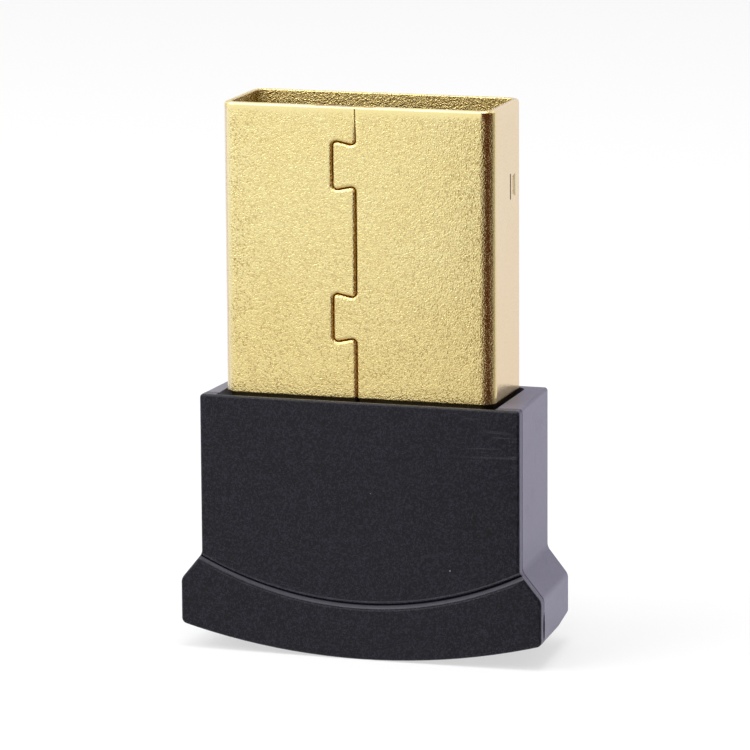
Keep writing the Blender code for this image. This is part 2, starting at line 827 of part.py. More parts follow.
def board_half():
    """Half the board's width, which fits the rear cover's inside at the board's depth."""
    depth = PLUG_MIDDLE + BOARD_REAR - REAR_RIM
    inside = REAR_HALF - WALL - depth * math.tan(REAR_DRAFT)
    return inside - abs(PLUG_SHIFT) - BOARD_GAP


def board_place(x):
    """World X of a place on the board, which is centred on the plug."""
    return x + PLUG_SHIFT


def rail_side():
    return board_half() - RAIL_WIDTH


def rail_bottom():
    return BOSS_HEIGHT_UP + BOSS_RADIUS + 2 * BOARD_GAP


def board_bottom():
    """Height of the board's lower edge, clear of the lip along the curved end."""
    edge = board_half() + abs(PLUG_SHIFT)
    return end_height(edge) + WALL + LIP_GAP + LIP_THICKNESS + BOARD_END_GAP - TOTAL_HEIGHT


def circuit_board(parent, finish):
    half = board_half()
    neck = SHELL_WIDTH / 2 - SHEET - BOARD_GAP
    shoulder = -PLUG_LENGTH - LEG_LENGTH - BOARD_GAP
    bottom = board_bottom()
    outline = rounded(
        [
            (-half, bottom, BOARD_ROUND),
            (half, bottom, BOARD_ROUND),
            (half, shoulder, BOARD_ROUND / 2),
            (neck, shoulder, 0),
            (neck, BOARD_TOP, BOARD_ROUND / 2),
            (-neck, BOARD_TOP, BOARD_ROUND / 2),
            (-neck, shoulder, 0),
            (-half, shoulder, BOARD_ROUND / 2),
        ]
    )
    board = prism("circuit_board", [outline], "Y", BOARD_FRONT, BOARD_REAR)
    as_part(board, parent, finish)
    for side, name in ((-1, "left"), (1, "right")):
        notch = rod(
            "board_notch_" + name,
            BOSS_RADIUS + BOARD_GAP,
            FRONT_FACE,
            REAR_FACE,
            side * BOSS_SIDE,
            BOSS_HEIGHT_UP,
        )
        cut(board, notch)
    return board


# Parts soldered to the board


def body(name, size):
    """A part's box, standing on its underside in its own frame, +Z away from the board."""
    width, length, height = size
    return block(name, (-width / 2, -length / 2, 0), (width / 2, length / 2, height))


def baked(obj):
    """Moves the object's place into its mesh."""
    obj.data.transform(obj.matrix_basis)
    obj.matrix_basis = Matrix.Identity(4)
    return obj


def seat(obj, parent, finish, x, z, on_front):
    """Solders a part to the board's front or back at (x, z) of the plug's frame."""
    as_part(obj, parent, finish)
    if on_front:
        obj.location = (x, BOARD_FRONT - SOLDER_GAP, z)
        obj.rotation_euler = (math.pi / 2, 0, 0)
    else:
        obj.location = (x, BOARD_REAR + SOLDER_GAP, z)
        obj.rotation_euler = (math.pi / 2, 0, math.pi)
    return obj


def chip_part(name, size, parent):
    """A capacitor or resistor: a body with a cap on each end, wider by a little."""
    width, length, height = size
    cap = width / 4
    core = (width - cap, length - 2 * CAP_GROWTH, height - CAP_GROWTH)
    part = baked(body(name, core))
    for side in (-1, 1):
        end = block(
            f"{name}_cap_{'left' if side < 0 else 'right'}",
            (-cap / 2, -length / 2, -CAP_GROWTH / 2),
            (cap / 2, length / 2, height),
        )
        end.location.x = side * (width - cap) / 2
        join(part, baked(end), part)
    return part


def radio_chip(parent, finish, x, z):
    chip = baked(body("radio_chip", (RADIO_SIDE, RADIO_SIDE, RADIO_HEIGHT)))
    seat(chip, parent, finish, x, z, True)
    soften(chip, CHIP_EDGE, 1)
    pad = RADIO_PAD_PITCH / 2
    for side in range(4):
        turn = Matrix.Rotation(side * math.pi / 2, 4, "Z")
        for i in range(RADIO_PADS):
            along = (i - (RADIO_PADS - 1) / 2) * RADIO_PAD_PITCH
            lead = block(
                f"radio_pad_{side}_{i}",
                (along - pad / 2, RADIO_SIDE / 2 - 2 * pad, PAD_UP),
                (along + pad / 2, RADIO_SIDE / 2 + PAD_OUT, PAD_UP + pad),
            )
            baked(lead).data.transform(turn)
            join(chip, lead, chip)
    half = MARK_SIDE / 2
    mark = block("radio_mark", (-half, -half, -MARK_DEPTH), (half, half, MARK_DEPTH))
    corner = RADIO_SIDE / 2 - MARK_INSET
    mark.location = (-corner, corner, RADIO_HEIGHT)
    cut(chip, mark, chip)
    return chip


def leaded_chip(name, size, leads, parent, finish, x, z, on_front):
    """A small package with bent leads along its two long sides."""
    width, length, height = size
    low, high = (-width / 2, -length / 2, STAND_OFF), (width / 2, length / 2, height)
    chip = baked(block(name, low, high))
    seat(chip, parent, finish, x, z, on_front)
    soften(chip, CHIP_EDGE, 1)
    thick, wide, reach = LEAD_THICKNESS, LEAD_WIDTH, LEAD_REACH
    for side, count in zip((-1, 1), leads):
        for i in range(count):
            along = (i - (count - 1) / 2) * width / max(count, 2)
            outline = [
                (length / 2 - thick, height / 2),
                (length / 2 + reach / 2, height / 2),
                (length / 2 + reach / 2, thick),
                (length / 2 + reach, thick),
                (length / 2 + reach, 0),
                (length / 2 + reach / 2 - thick, 0),
                (length / 2 + reach / 2 - thick, height / 2 - thick),
                (length / 2 - thick, height / 2 - thick),
            ]
            lead = prism(f"{name}_lead_{side}_{i}", [outline], "X", -wide / 2, wide / 2)
            lead.data.transform(lead.matrix_basis)
            lead.matrix_basis = Matrix.Identity(4)
            if side < 0:
                lead.data.transform(Matrix.Rotation(math.pi, 4, "Z"))
            lead.data.transform(Matrix.Translation((along, 0, 0)))
            join(chip, lead, chip)
    return chip


def crystal(parent, finish, x, z, on_front):
    width, length, height = CRYSTAL_SIZE
    can = baked(body("crystal", (width, length, height / 2)))
    seat(can, parent, finish, x, z, on_front)
    lid = block(
        "crystal_lid",
        (-width / 2 + LID_RIM, -length / 2 + LID_RIM, height / 4),
        (width / 2 - LID_RIM, length / 2 - LID_RIM, height),
    )
    join(can, soften(baked(lid), LID_ROUND), can)
    return can


def row(z, sizes):
    """Centres of parts set side by side, centred on the board."""
    total = sum(sizes) + PART_SPACING * (len(sizes) - 1)
    places, at = [], -total / 2
    for size in sizes:
        places.append((at + size / 2, z))
        at += size + PART_SPACING
    return places


def antenna(parent, finish):
    """A printed meander along the board's lower edge."""
    low = board_bottom() + ANTENNA_MARGIN + ANTENNA_WIDTH / 2
    high = low + ANTENNA_HEIGHT
    start = -ANTENNA_PITCH * (ANTENNA_TURNS - 1) / 2
    path = [(start, high + ANTENNA_HEIGHT / 2)]
    for i in range(ANTENNA_TURNS):
        x = start + i * ANTENNA_PITCH
        path += [(x, low), (x + ANTENNA_PITCH / 2, low), (x + ANTENNA_PITCH / 2, high)]
        if i < ANTENNA_TURNS - 1:
            path.append((x + ANTENNA_PITCH, high))
    trace = prism(
        "antenna_trace",
        [ribbon(path, ANTENNA_WIDTH)],
        "Y",
        BOARD_REAR + SOLDER_GAP,
        BOARD_REAR + SOLDER_GAP + ANTENNA_THICKNESS,
    )
    return as_part(trace, parent, finish)


def board_parts(parent, finishes):
    black, ceramic, resistor_black, tin, ferrite, copper = finishes
    low = board_bottom()
    antenna_top = low + ANTENNA_MARGIN + ANTENNA_WIDTH + 1.5 * ANTENNA_HEIGHT
    radio_z = BOARD_TOP - PART_SPACING - RADIO_SIDE / 2
    radio_chip(parent, black, 0, radio_z)
    side_x = RADIO_SIDE / 2 + 2 * PART_SPACING + CAPACITOR_SIZE[0] / 2
    step = CAPACITOR_SIZE[1] + PART_SPACING
    for i in range(4):
        for side, kind in ((-1, "left"), (1, "right")):
            if side > 0 and i > 1:
                name, size, finish = f"resistor_{i - 1}", RESISTOR_SIZE, resistor_black
            else:
                name, size, finish = f"capacitor_{kind}_{i + 1}", CAPACITOR_SIZE, ceramic
            z = radio_z + (i - 1.5) * step
            seat(chip_part(name, size, parent), parent, finish, side * side_x, z, True)
    tail_end = BLOCK_END - TAIL_LENGTH
    row_z = tail_end - PART_SPACING - CRYSTAL_SIZE[1] / 2
    widths = [CRYSTAL_SIZE[0], MEMORY_SIZE[0], REGULATOR_SIZE[0]]
    places = row(row_z, widths)
    crystal(parent, tin, *places[0], False)
    leaded_chip("memory_chip", MEMORY_SIZE, (4, 4), parent, black, *places[1], False)
    leaded_chip("voltage_regulator", REGULATOR_SIZE, (2, 3), parent, black, *places[2], False)
    feed_x = ANTENNA_PITCH * (ANTENNA_TURNS - 1) / 2
    low_row = antenna_top - FILTER_SIZE[1]
    antenna_filter = chip_part("antenna_filter", FILTER_SIZE, parent)
    seat(antenna_filter, parent, ceramic, -feed_x, low_row, True)
    inductor = chip_part("supply_inductor", INDUCTOR_SIZE, parent)
    seat(inductor, parent, ferrite, feed_x, low_row, True)
    antenna(parent, copper)


def adapter():
    gold = material("gold_plating", (0.86, 0.64, 0.26), 0.3, 1.0)
    contact_gold = material("contact_gold", (0.9, 0.68, 0.3), 0.2, 1.0)
    black = material("black_plastic", (0.022, 0.021, 0.026), 0.45)
    rear_black = material("rear_black_plastic", (0.022, 0.021, 0.026), 0.4)
    carrier_black = material("carrier_plastic", (0.015, 0.015, 0.015), 0.5)
    board_green = material("board_laminate", (0.01, 0.12, 0.05), 0.4)
    chip_black = material("chip_black", (0.02, 0.02, 0.02), 0.5)
    ceramic = material("ceramic", (0.45, 0.3, 0.18), 0.5)
    resistor_black = material("resistor_black", (0.03, 0.03, 0.03), 0.4)
    tin = material("crystal_metal", (0.75, 0.75, 0.72), 0.25, 1.0)
    ferrite = material("ferrite", (0.08, 0.08, 0.09), 0.6)
    copper = material("antenna_copper", (0.8, 0.45, 0.25), 0.35, 1.0)

    housing = frame("housing_frame", (0, 0, 0))
    plug = frame("plug_frame", (PLUG_SHIFT, PLUG_MIDDLE, TOTAL_HEIGHT))
    front_cover(housing, black)
    rear_cover(housing, rear_black)
    plug_shell(plug, gold)
    contact_carrier(plug, carrier_black)
    contacts(plug, contact_gold)
    circuit_board(plug, board_green)
    board_parts(plug, (chip_black, ceramic, resistor_black, tin, ferrite, copper))


adapter()
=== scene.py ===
"""Looks for a miniature wireless usb adapter: a gold-plated plug in a black housing."""

import math

import bmesh
import bpy
from mathutils import Matrix, Vector


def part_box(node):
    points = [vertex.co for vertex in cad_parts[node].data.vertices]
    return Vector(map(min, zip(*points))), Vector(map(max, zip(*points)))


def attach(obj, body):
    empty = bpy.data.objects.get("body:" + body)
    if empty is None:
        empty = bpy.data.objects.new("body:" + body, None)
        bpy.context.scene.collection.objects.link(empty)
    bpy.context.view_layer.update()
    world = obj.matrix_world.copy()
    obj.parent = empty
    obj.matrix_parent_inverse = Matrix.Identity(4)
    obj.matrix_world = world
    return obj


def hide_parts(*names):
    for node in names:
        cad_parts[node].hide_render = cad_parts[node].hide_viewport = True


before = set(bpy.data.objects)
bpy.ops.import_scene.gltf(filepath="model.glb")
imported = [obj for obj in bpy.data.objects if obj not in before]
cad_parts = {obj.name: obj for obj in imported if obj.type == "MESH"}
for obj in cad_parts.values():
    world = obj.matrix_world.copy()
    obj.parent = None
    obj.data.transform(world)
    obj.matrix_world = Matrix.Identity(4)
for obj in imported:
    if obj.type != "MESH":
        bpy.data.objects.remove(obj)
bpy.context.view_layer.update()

# The pieces are modelled in millimetres, and scaled to metres when they are fitted
MM = 0.001

# Plug shell
SHELL_LOW, SHELL_HIGH = (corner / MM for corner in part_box("plug_shell"))
SHEET = 0.3
SHELL_CORNER = 0.6
MOUTH_OUTSIDE = 0.13
MOUTH_INSIDE = 0.05
SHELL_END = 7.9
LEG_WIDTH = 1.8
STEP_TOP = 11.25
STEP_HEIGHT = 0.05
STEP_DEPTH = 0.15
STEP_ROUND = 0.05
SEAM_SIDE = -0.05
SEAM_GAP = 0.012
SEAM_ROLL = 0.16
TAB_REACH = 1.02
TAB_ROOT = 1.72
TAB_TIP = 2.14
TAB_CORNER = 0.25
FIRST_TAB = 2.53
TAB_PITCH = 6.52
# Width and length
WINDOW = (2.5, 2.0)
WINDOW_MIDDLE = 6.16
WINDOW_SPACING = 6.5
# Depth, width and length, and the share of width and length that the floor keeps
DIMPLE = (0.06, 0.8, 1.2)
DIMPLE_FLOOR = (0.45, 0.65)
DIMPLE_FROM_MOUTH = 3.55
DIMPLE_OFFSET = 0.85
SLIT = (0.26, 0.13, 1.1)

# Housing
FRONT_FACE = -2.75
FRONT_INSIDE = -2.23
REAR_RIM = -2.17
REAR_FACE = 2.75
HEIGHT = 11.2
FRONT_HALF = 7.1
REAR_HALF = 7.08
REAR_DRAFT = math.radians(2.8)
FLARE_TOP = 4.2
FLARE_HEIGHT = 1.16
FLARE_OUT = 0.95
END_RADIUS = 30
END_SIDES = 252
END_RELIEF = 0.2
END_RELIEF_DEPTH = 1.8
FLARE_ROUND = 0.15
END_ROUND = 0.2
TOP_ROUND = 0.15
EDGE_ROUND = 0.12
PARTING_ROUND = 0.05
WALL = 0.7
TOP_WALL = 0.9
BACK_WALL = 0.6
POCKET_HALF = 6.2
POCKET_BACK = 2.41
POCKET_CHAMFER = 0.38
POCKET_ROUND = 0.06
PLUG_SHIFT = (SHELL_LOW.x + SHELL_HIGH.x) / 2
GROOVE_RADIUS = 16
GROOVE_ROD = 0.15
GROOVE_DEPTH = 0.14
GROOVE_BELOW_FLARE = 0.17
GROOVE_RISE = math.sqrt(GROOVE_RADIUS**2 - FRONT_HALF**2)
GROOVE_CENTRE = FLARE_TOP - GROOVE_BELOW_FLARE + GROOVE_RISE
GROOVE_ROUND = 0.1
NOTCH_LENGTH = 1.6
NOTCH_WIDTH = 0.36
NOTCH_DEPTH = 0.45
NOTCH_HEIGHT = 1.85
PIN_SIDE = 6.5
PIN_HEIGHT = 2.9
PIN_RADIUS = 0.4
PIN_END = -0.63
BOSS_RADIUS = 0.8
BOSS_RIM = -1.92
BOSS_BORE = 1.12 * PIN_RADIUS

# Two places nearer than this are the same in a test, and nearer than DOUBLES in a mesh
TINY = 0.02
DOUBLES = 0.0005
# A direction with this much of an axis in it is nearly along it, and with SQUARE right along it
ALONG = 0.9
SQUARE = 0.99
# Edges that turn by less than this look smooth
SMOOTH_BELOW = math.radians(38)
# The step's edge turns by more than this, in radians
SHARP = 0.5

# Colours of the plating
GOLD = (0.985, 0.84, 0.39)
LIGHT_GOLD = (1.0, 0.87, 0.425)
# Painted shade: a warmer, darker gold low on the shell and inside the mouth
WARM_SHADE_GOLD = (0.96, 0.77, 0.33)
SHADED_GOLD = (0.73, 0.53, 0.21)
# Painted shade in the pits low down and near the bends, and inside the mouth
DARK_PIT_SHADE_GOLD = (0.42, 0.27, 0.09)
# Painted highlight on the left bend
HIGHLIGHT_GOLD = (1.0, 0.95, 0.66)
# Painted shade in the seam
SEAM_SHADE = (0.5, 0.27, 0.08)
JOINT_SHADE = (0.03, 0.022, 0.012)

# Colours on the covers
SHEEN_TINT = (0.82, 0.78, 1.0, 1.0)
SCUFF = (0.09, 0.09, 0.1)
# Painted highlight along the groove's edges
GROOVE_HIGHLIGHT = (0.15, 0.145, 0.165)
# Painted light on the front cover's narrow sides
SIDE_LIGHT = (0.07, 0.066, 0.085)
DUST = (0.32, 0.31, 0.33)

# Colours of metal inside
TIN = (0.78, 0.77, 0.74)
LEAD_TIN = (0.74, 0.73, 0.7)
PAD_GOLD = (0.72, 0.6, 0.34)

# Camera, fitted to the edges of the plug: angles in degrees, places in millimetres
CAMERA_AZIMUTH = 17.4769
CAMERA_ELEVATION = 11.1251
CAMERA_ROLL = -0.3707
CAMERA_DISTANCE = 221.082
AIM_RIGHT = 0.0663
AIM_DOWN = 11.677
FOCAL_PIXELS = 5215.58
PICTURE_PIXELS = 750
SENSOR = 36


# Bench


def only(piece):
    """Makes the piece the only one selected, and the active one."""
    bpy.ops.object.select_all(action="DESELECT")
    piece.select_set(True)
    bpy.context.view_layer.objects.active = piece


def in_place(piece, name):
    """Names the piece and moves its place into its mesh."""
    piece.name = name
    piece.data.name = name
    only(piece)
    bpy.ops.object.transform_apply(location=True, rotation=True, scale=True)
    return piece


class Editing:
    """A piece in edit mode. Its faces, edges and points are picked by a test."""

    def __init__(self, piece):
        self.piece = piece

    def __enter__(self):
        only(self.piece)
        bpy.ops.object.mode_set(mode="EDIT")
        bpy.ops.mesh.select_mode(type="VERT")
        return self

    def __exit__(self, *_):
        bpy.ops.object.mode_set(mode="OBJECT")

    def pick(self, kind, test):
        """Selects the verts, edges or faces that pass the test, and nothing else."""
        modes = {"verts": "VERT", "edges": "EDGE", "faces": "FACE"}
        bpy.ops.mesh.select_mode(type=modes[kind])
        bpy.ops.mesh.select_all(action="DESELECT")
        shape = bmesh.from_edit_mesh(self.piece.data)
        for element in getattr(shape, kind):
            if test(element):
                element.select_set(True)
        shape.select_flush_mode()
        bmesh.update_edit_mesh(self.piece.data)


def block(name, low, high):
    """A box between two corners."""
    low, high = Vector(low), Vector(high)
    bpy.ops.object.select_all(action="DESELECT")
    bpy.ops.mesh.primitive_cube_add(size=1, location=(low + high) / 2, scale=high - low)
    return in_place(bpy.context.active_object, name)


def rod(name, radius, start, end, x, z, sides=48):
    """A round bar along Y."""
    bpy.ops.object.select_all(action="DESELECT")
    bpy.ops.mesh.primitive_cylinder_add(
        vertices=sides,
        radius=radius,
        depth=end - start,
        location=(x, (start + end) / 2, z),
        rotation=(math.pi / 2, 0, 0),
    )
    return in_place(bpy.context.active_object, name)


def combine(piece, tool, operation="DIFFERENCE"):
    """Cuts the piece with the tool, or does another Boolean, and removes the tool."""
    only(piece)
    bpy.ops.object.modifier_add(type="BOOLEAN")
    modifier = piece.modifiers[-1]
    modifier.operation = operation
    modifier.solver = "EXACT"
    modifier.object = tool
    bpy.ops.object.modifier_apply(modifier=modifier.name)
    bpy.data.objects.remove(tool)
    return piece


def parallel(edge, axis):
    way = edge.verts[1].co - edge.verts[0].co
    return way.length > 0 and abs(way[axis]) > SQUARE * way.length


def middle(edge):
    return (edge.verts[0].co + edge.verts[1].co) / 2


def paired(edge):
    return len(edge.link_faces) == 2


def smoothed(piece):
    """Merges doubled points, and shades the roundings smooth and the flats flat."""
    with Editing(piece):
        bpy.ops.mesh.select_all(action="SELECT")
        bpy.ops.mesh.remove_doubles(threshold=DOUBLES)
    only(piece)
    bpy.ops.object.shade_smooth_by_angle(angle=SMOOTH_BELOW)
    bpy.ops.object.modifier_add(type="WEIGHTED_NORMAL")
    modifier = piece.modifiers[-1]
    modifier.keep_sharp = True
    modifier.weight = 80
    bpy.ops.object.modifier_apply(modifier=modifier.name)


def fit(piece, node, finish):
    """Puts a finished piece on the part in place of its solid."""
    piece.scale = (MM, MM, MM)
    in_place(piece, piece.name)
    piece.data.materials.clear()
    piece.data.materials.append(finish)
    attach(piece, "root")
    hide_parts(node)


# Plug shell


def seam_points():
    """Corners of the seam from above the mouth to below the shell's end, as (x, z)."""
    line = PLUG_SHIFT + SEAM_SIDE
    tip = line - TAB_REACH
    top = SHELL_HIGH.z
    points = [(line, top + SHEET)]
    for i in range(2):
        tab = top - FIRST_TAB - i * TAB_PITCH
        points += [
            (line, tab + TAB_ROOT / 2),
            (tip, tab + TAB_TIP / 2),
            (tip, tab - TAB_TIP / 2),
            (line, tab - TAB_ROOT / 2),
        ]
    points.append((line, SHELL_LOW.z - SHEET))
    return points


def seam_blade():
    """A thin blade bent along the seam, which cuts the slit through the front wall."""
    points = seam_points()
    front = SHELL_LOW.y - SHEET
    bpy.ops.object.select_all(action="DESELECT")
    bpy.ops.mesh.primitive_plane_add(size=1, location=(points[0][0], front, points[0][1]))
    blade = in_place(bpy.context.active_object, "seam_blade")
    with Editing(blade) as work:
        bpy.ops.mesh.select_all(action="SELECT")
        bpy.ops.mesh.merge(type="CENTER")
        for before, after in zip(points, points[1:]):
            step = (after[0] - before[0], 0, after[1] - before[1])
            bpy.ops.mesh.extrude_region_move(TRANSFORM_OT_translate={"value": step})
        bpy.ops.mesh.select_all(action="SELECT")
        # From one sheet in front of the wall to a fifth of one behind it
        depth = (0, 2.2 * SHEET, 0)
        bpy.ops.mesh.extrude_region_move(TRANSFORM_OT_translate={"value": depth})
        work.pick("edges", lambda edge: parallel(edge, 1) and paired(edge))
        bpy.ops.mesh.bevel(offset=TAB_CORNER, segments=8)
    only(blade)
    bpy.ops.object.modifier_add(type="SOLIDIFY")
    thickened = blade.modifiers[-1]
    thickened.thickness = SEAM_GAP
    thickened.offset = 0
    bpy.ops.object.modifier_apply(modifier=thickened.name)
    with Editing(blade):
        bpy.ops.mesh.select_all(action="SELECT")
        bpy.ops.mesh.normals_make_consistent(inside=False)
    return blade


def latch_window(x):
    """The cutter for a window in the back wall."""
    width, length = WINDOW
    z = SHELL_HIGH.z - WINDOW_MIDDLE
    window = block(
        "latch_window",
        (x - width / 2, SHELL_HIGH.y - 2 * SHEET, z - length / 2),
        (x + width / 2, SHELL_HIGH.y + SHEET, z + length / 2),
    )
    with Editing(window) as work:
        work.pick("edges", lambda edge: parallel(edge, 1))
        bpy.ops.mesh.bevel(offset=TAB_CORNER, segments=6)
    return window


def wall_cutter(name, side, deep, front, back, long):
    """A block that reaches this deep into a narrow wall, and its centre on the wall."""
    wall = SHELL_HIGH.x if side > 0 else SHELL_LOW.x
    z = SHELL_HIGH.z - DIMPLE_FROM_MOUTH
    inner, outer = sorted((wall - side * deep, wall + side * deep))
    cutter = block(name, (inner, front, z - long / 2), (outer, back, z + long / 2))
    return cutter, (wall, (front + back) / 2, z)


def side_dimple(side):
    """The cutter for a sloped pressing in a narrow wall."""
    deep, wide, long = DIMPLE
    y = (SHELL_LOW.y + SHELL_HIGH.y) / 2 + DIMPLE_OFFSET
    dimple, centre = wall_cutter("side_dimple", side, deep, y - wide / 2, y + wide / 2, long)
    with Editing(dimple) as work:
        work.pick("faces", lambda face: face.normal.x * side < -ALONG)
        bpy.ops.transform.resize(value=(1, *DIMPLE_FLOOR), center_override=centre)
    return dimple


def side_slit(side):
    """The cutter for the slit along the front edge of the pressing."""
    deep, wide, long = SLIT
    y = (SHELL_LOW.y + SHELL_HIGH.y) / 2 + DIMPLE_OFFSET - DIMPLE[1] / 2
    slit, _ = wall_cutter("side_slit", side, deep, y - wide, y, long)
    return slit


def shell_tube():
    """The shell's sheet, closed all round and open at both ends."""
    tube = block("gold_plug_shell", SHELL_LOW, SHELL_HIGH)
    with Editing(tube) as work:
        work.pick("edges", lambda edge: parallel(edge, 2))
        bpy.ops.mesh.bevel(offset=SHELL_CORNER, segments=12)
        work.pick("faces", lambda face: abs(face.normal.z) > ALONG)
        bpy.ops.mesh.delete(type="ONLY_FACE")
    only(tube)
    bpy.ops.object.modifier_add(type="SOLIDIFY")
    wall = tube.modifiers[-1]
    wall.thickness = SHEET
    wall.offset = -1
    wall.use_even_offset = True
    bpy.ops.object.modifier_apply(modifier=wall.name)
    return tube


def shell_ends_shaped(shell):
    """Narrows the outside of the shell's foot at a step, and rounds the mouth's rims."""
    centre = (SHELL_LOW + SHELL_HIGH) / 2
    half = (SHELL_HIGH - SHELL_LOW) / 2

    def upright(face):
        return abs(face.normal.z) <= 1 - ALONG

    def outward(face):
        return face.normal.dot(face.calc_center_median() - centre) > 0

    def below_step(face):
        low = face.calc_center_median().z <= STEP_TOP - STEP_HEIGHT
        return low and upright(face) and outward(face)

    def step_edge(edge):
        level = all(abs(vert.co.z - STEP_TOP) < TINY for vert in edge.verts)
        return level and paired(edge) and edge.calc_face_angle() > SHARP

    def rim(edge, outside):
        walls = [face for face in edge.link_faces if upright(face)]
        at_mouth = min(vert.co.z for vert in edge.verts) > SHELL_HIGH.z - TINY
        return at_mouth and len(walls) == 1 and outward(walls[0]) == outside

    with Editing(shell) as work:
        for height in (STEP_TOP, STEP_TOP - STEP_HEIGHT):
            bpy.ops.mesh.select_all(action="SELECT")
            bpy.ops.mesh.bisect(plane_co=(0, 0, height), plane_no=(0, 0, 1))
        work.pick("faces", below_step)
        narrowed = (1 - STEP_DEPTH / half.x, 1 - STEP_DEPTH / half.y, 1)
        bpy.ops.transform.resize(value=narrowed, center_override=centre)
        work.pick("edges", step_edge)
        bpy.ops.mesh.bevel(offset=STEP_ROUND, segments=3)
        work.pick("edges", lambda edge: rim(edge, True))
        bpy.ops.mesh.bevel(offset=MOUTH_OUTSIDE, segments=5)
        work.pick("edges", lambda edge: rim(edge, False))
        bpy.ops.mesh.bevel(offset=MOUTH_INSIDE, segments=3)


def shell_lips_rolled(shell):
    """Rolls the lips of the seam and the rims of the windows."""
    middle_y = (SHELL_LOW.y + SHELL_HIGH.y) / 2

    def facing(edge):
        return sorted(face.normal.y for face in edge.link_faces)

    def seam_edge(edge):
        x, y, z = middle(edge)
        if not paired(edge) or abs(x - PLUG_SHIFT) > 2 * TAB_REACH or y > middle_y:
            return False
        # One face looks forwards, and the other into the seam
        first, last = facing(edge)
        return SHELL_END <= z < SHELL_HIGH.z - MOUTH_OUTSIDE and first < -0.3 and last > -0.05

    def window_edge(edge):
        y, z = middle(edge).yz
        near = abs(z - SHELL_HIGH.z + WINDOW_MIDDLE) < WINDOW[1]
        if not paired(edge) or y < SHELL_HIGH.y - TINY or not near:
            return False
        first, last = facing(edge)
        return last > ALONG and first < 1 - ALONG

    with Editing(shell) as work:
        work.pick("edges", seam_edge)
        bpy.ops.mesh.bevel(offset=SEAM_ROLL, segments=4)
        work.pick("edges", window_edge)
        bpy.ops.mesh.bevel(offset=SEAM_ROLL / 2, segments=3)


def plug_shell(finish):
    shell = shell_tube()
    shell_ends_shaped(shell)
    wide = SHELL_HIGH.x + SHELL_CORNER * 4
    middle_y = (SHELL_LOW.y + SHELL_HIGH.y) / 2
    front_space = (SHELL_LOW.y - SHEET, middle_y - LEG_WIDTH / 2)
    back_space = (middle_y + LEG_WIDTH / 2, SHELL_HIGH.y + SHEET)
    for start, end in (front_space, back_space):
        combine(shell, block("leg_space", (-wide, start, 0), (wide, end, SHELL_END)))
    combine(shell, seam_blade())
    for side in (-1, 1):
        combine(shell, latch_window(PLUG_SHIFT + side * WINDOW_SPACING / 2))
        combine(shell, side_dimple(side))
        combine(shell, side_slit(side))
    shell_lips_rolled(shell)
    smoothed(shell)
    fit(shell, "plug_shell", finish)


# Covers


def flare_line(x, half, inside):
    """Height of the flare's slope at x, for an outline that lies inside the cover's own."""
    slope = math.hypot(FLARE_OUT, FLARE_HEIGHT) / FLARE_OUT
    return FLARE_TOP - (x - half) * FLARE_HEIGHT / FLARE_OUT - inside * slope


def cover_body(name, half, front, back, top, inside=0.0):
    """A block with a flared foot and a curved end, its outline's corners rounded."""
    side, foot = half - inside, half + FLARE_OUT - inside
    shoulder, toe = flare_line(side, half, inside), flare_line(foot, half, inside)
    body = block(name, (-side, front, -1), (side, back, top))
    with Editing(body) as work:
        bpy.ops.mesh.select_all(action="SELECT")
        bpy.ops.mesh.bisect(plane_co=(0, 0, shoulder), plane_no=(0, 0, 1))
        for way in (-1, 1):

            def low_side(face):
                return face.normal.x * way > ALONG and face.calc_center_median().z < shoulder

            work.pick("faces", low_side)
            step = (way * (foot - side), 0, 0)
            bpy.ops.mesh.extrude_region_move(TRANSFORM_OT_translate={"value": step})

        def upper_toe(vert):
            return abs(vert.co.x) > (side + foot) / 2 and vert.co.z > shoulder / 2

        work.pick("verts", upper_toe)
        bpy.ops.transform.translate(value=(0, 0, toe - shoulder))
        for way in (-1, 1):
            work.pick("faces", lambda face: face.normal.y * way > SQUARE)
            bpy.ops.mesh.dissolve_faces()
    radius = END_RADIUS - inside
    reach = 4 * (REAR_FACE - FRONT_FACE)
    combine(body, rod("end_round", radius, -reach, reach, 0, END_RADIUS, END_SIDES), "INTERSECT")
    corner = END_RADIUS - math.sqrt(radius**2 - foot**2)
    flare = ((side, shoulder, FLARE_ROUND), (foot, toe, FLARE_ROUND))
    for x, z, size in ((side, top, TOP_ROUND), *flare, (foot, corner, END_ROUND)):

        def at_corner(edge):
            near = math.hypot(abs(middle(edge).x) - x, middle(edge).z - z) < 3 * TINY
            return near and parallel(edge, 1)

        with Editing(body) as work:
            work.pick("edges", at_corner)
            bpy.ops.mesh.bevel(offset=size, offset_type="OFFSET", segments=8)
    return body


def rim_rounded(body, y, size):
    """Rounds the edges all round a cover's front or back face."""

    def on_rim(edge):
        if not paired(edge) or abs(middle(edge).y - y) > TINY:
            return False
        flat = max(abs(face.normal.y) for face in edge.link_faces)
        side = min(abs(face.normal.y) for face in edge.link_faces)
        return flat > SQUARE and side < 0.5

    with Editing(body) as work:
        work.pick("edges", on_rim)
        bpy.ops.mesh.bevel(offset=size, segments=4)


def pry_lens():
    """The lens that opens the parting line, low on the right."""
    line = (FRONT_INSIDE + REAR_RIM) / 2
    bow = NOTCH_WIDTH / 2
    radius = (NOTCH_LENGTH**2 / 4 + bow**2) / (2 * bow)
    side = FRONT_HALF + FLARE_OUT
    lens = None
    for way in (-1, 1):
        bpy.ops.object.select_all(action="DESELECT")
        bpy.ops.mesh.primitive_cylinder_add(
            vertices=256,
            radius=radius,
            depth=2 * NOTCH_DEPTH,
            location=(side, line + way * (radius - bow), NOTCH_HEIGHT),
            rotation=(0, math.pi / 2, 0),
        )
        drum = in_place(bpy.context.active_object, "pry_lens")
        lens = drum if lens is None else combine(lens, drum, "INTERSECT")
    return lens


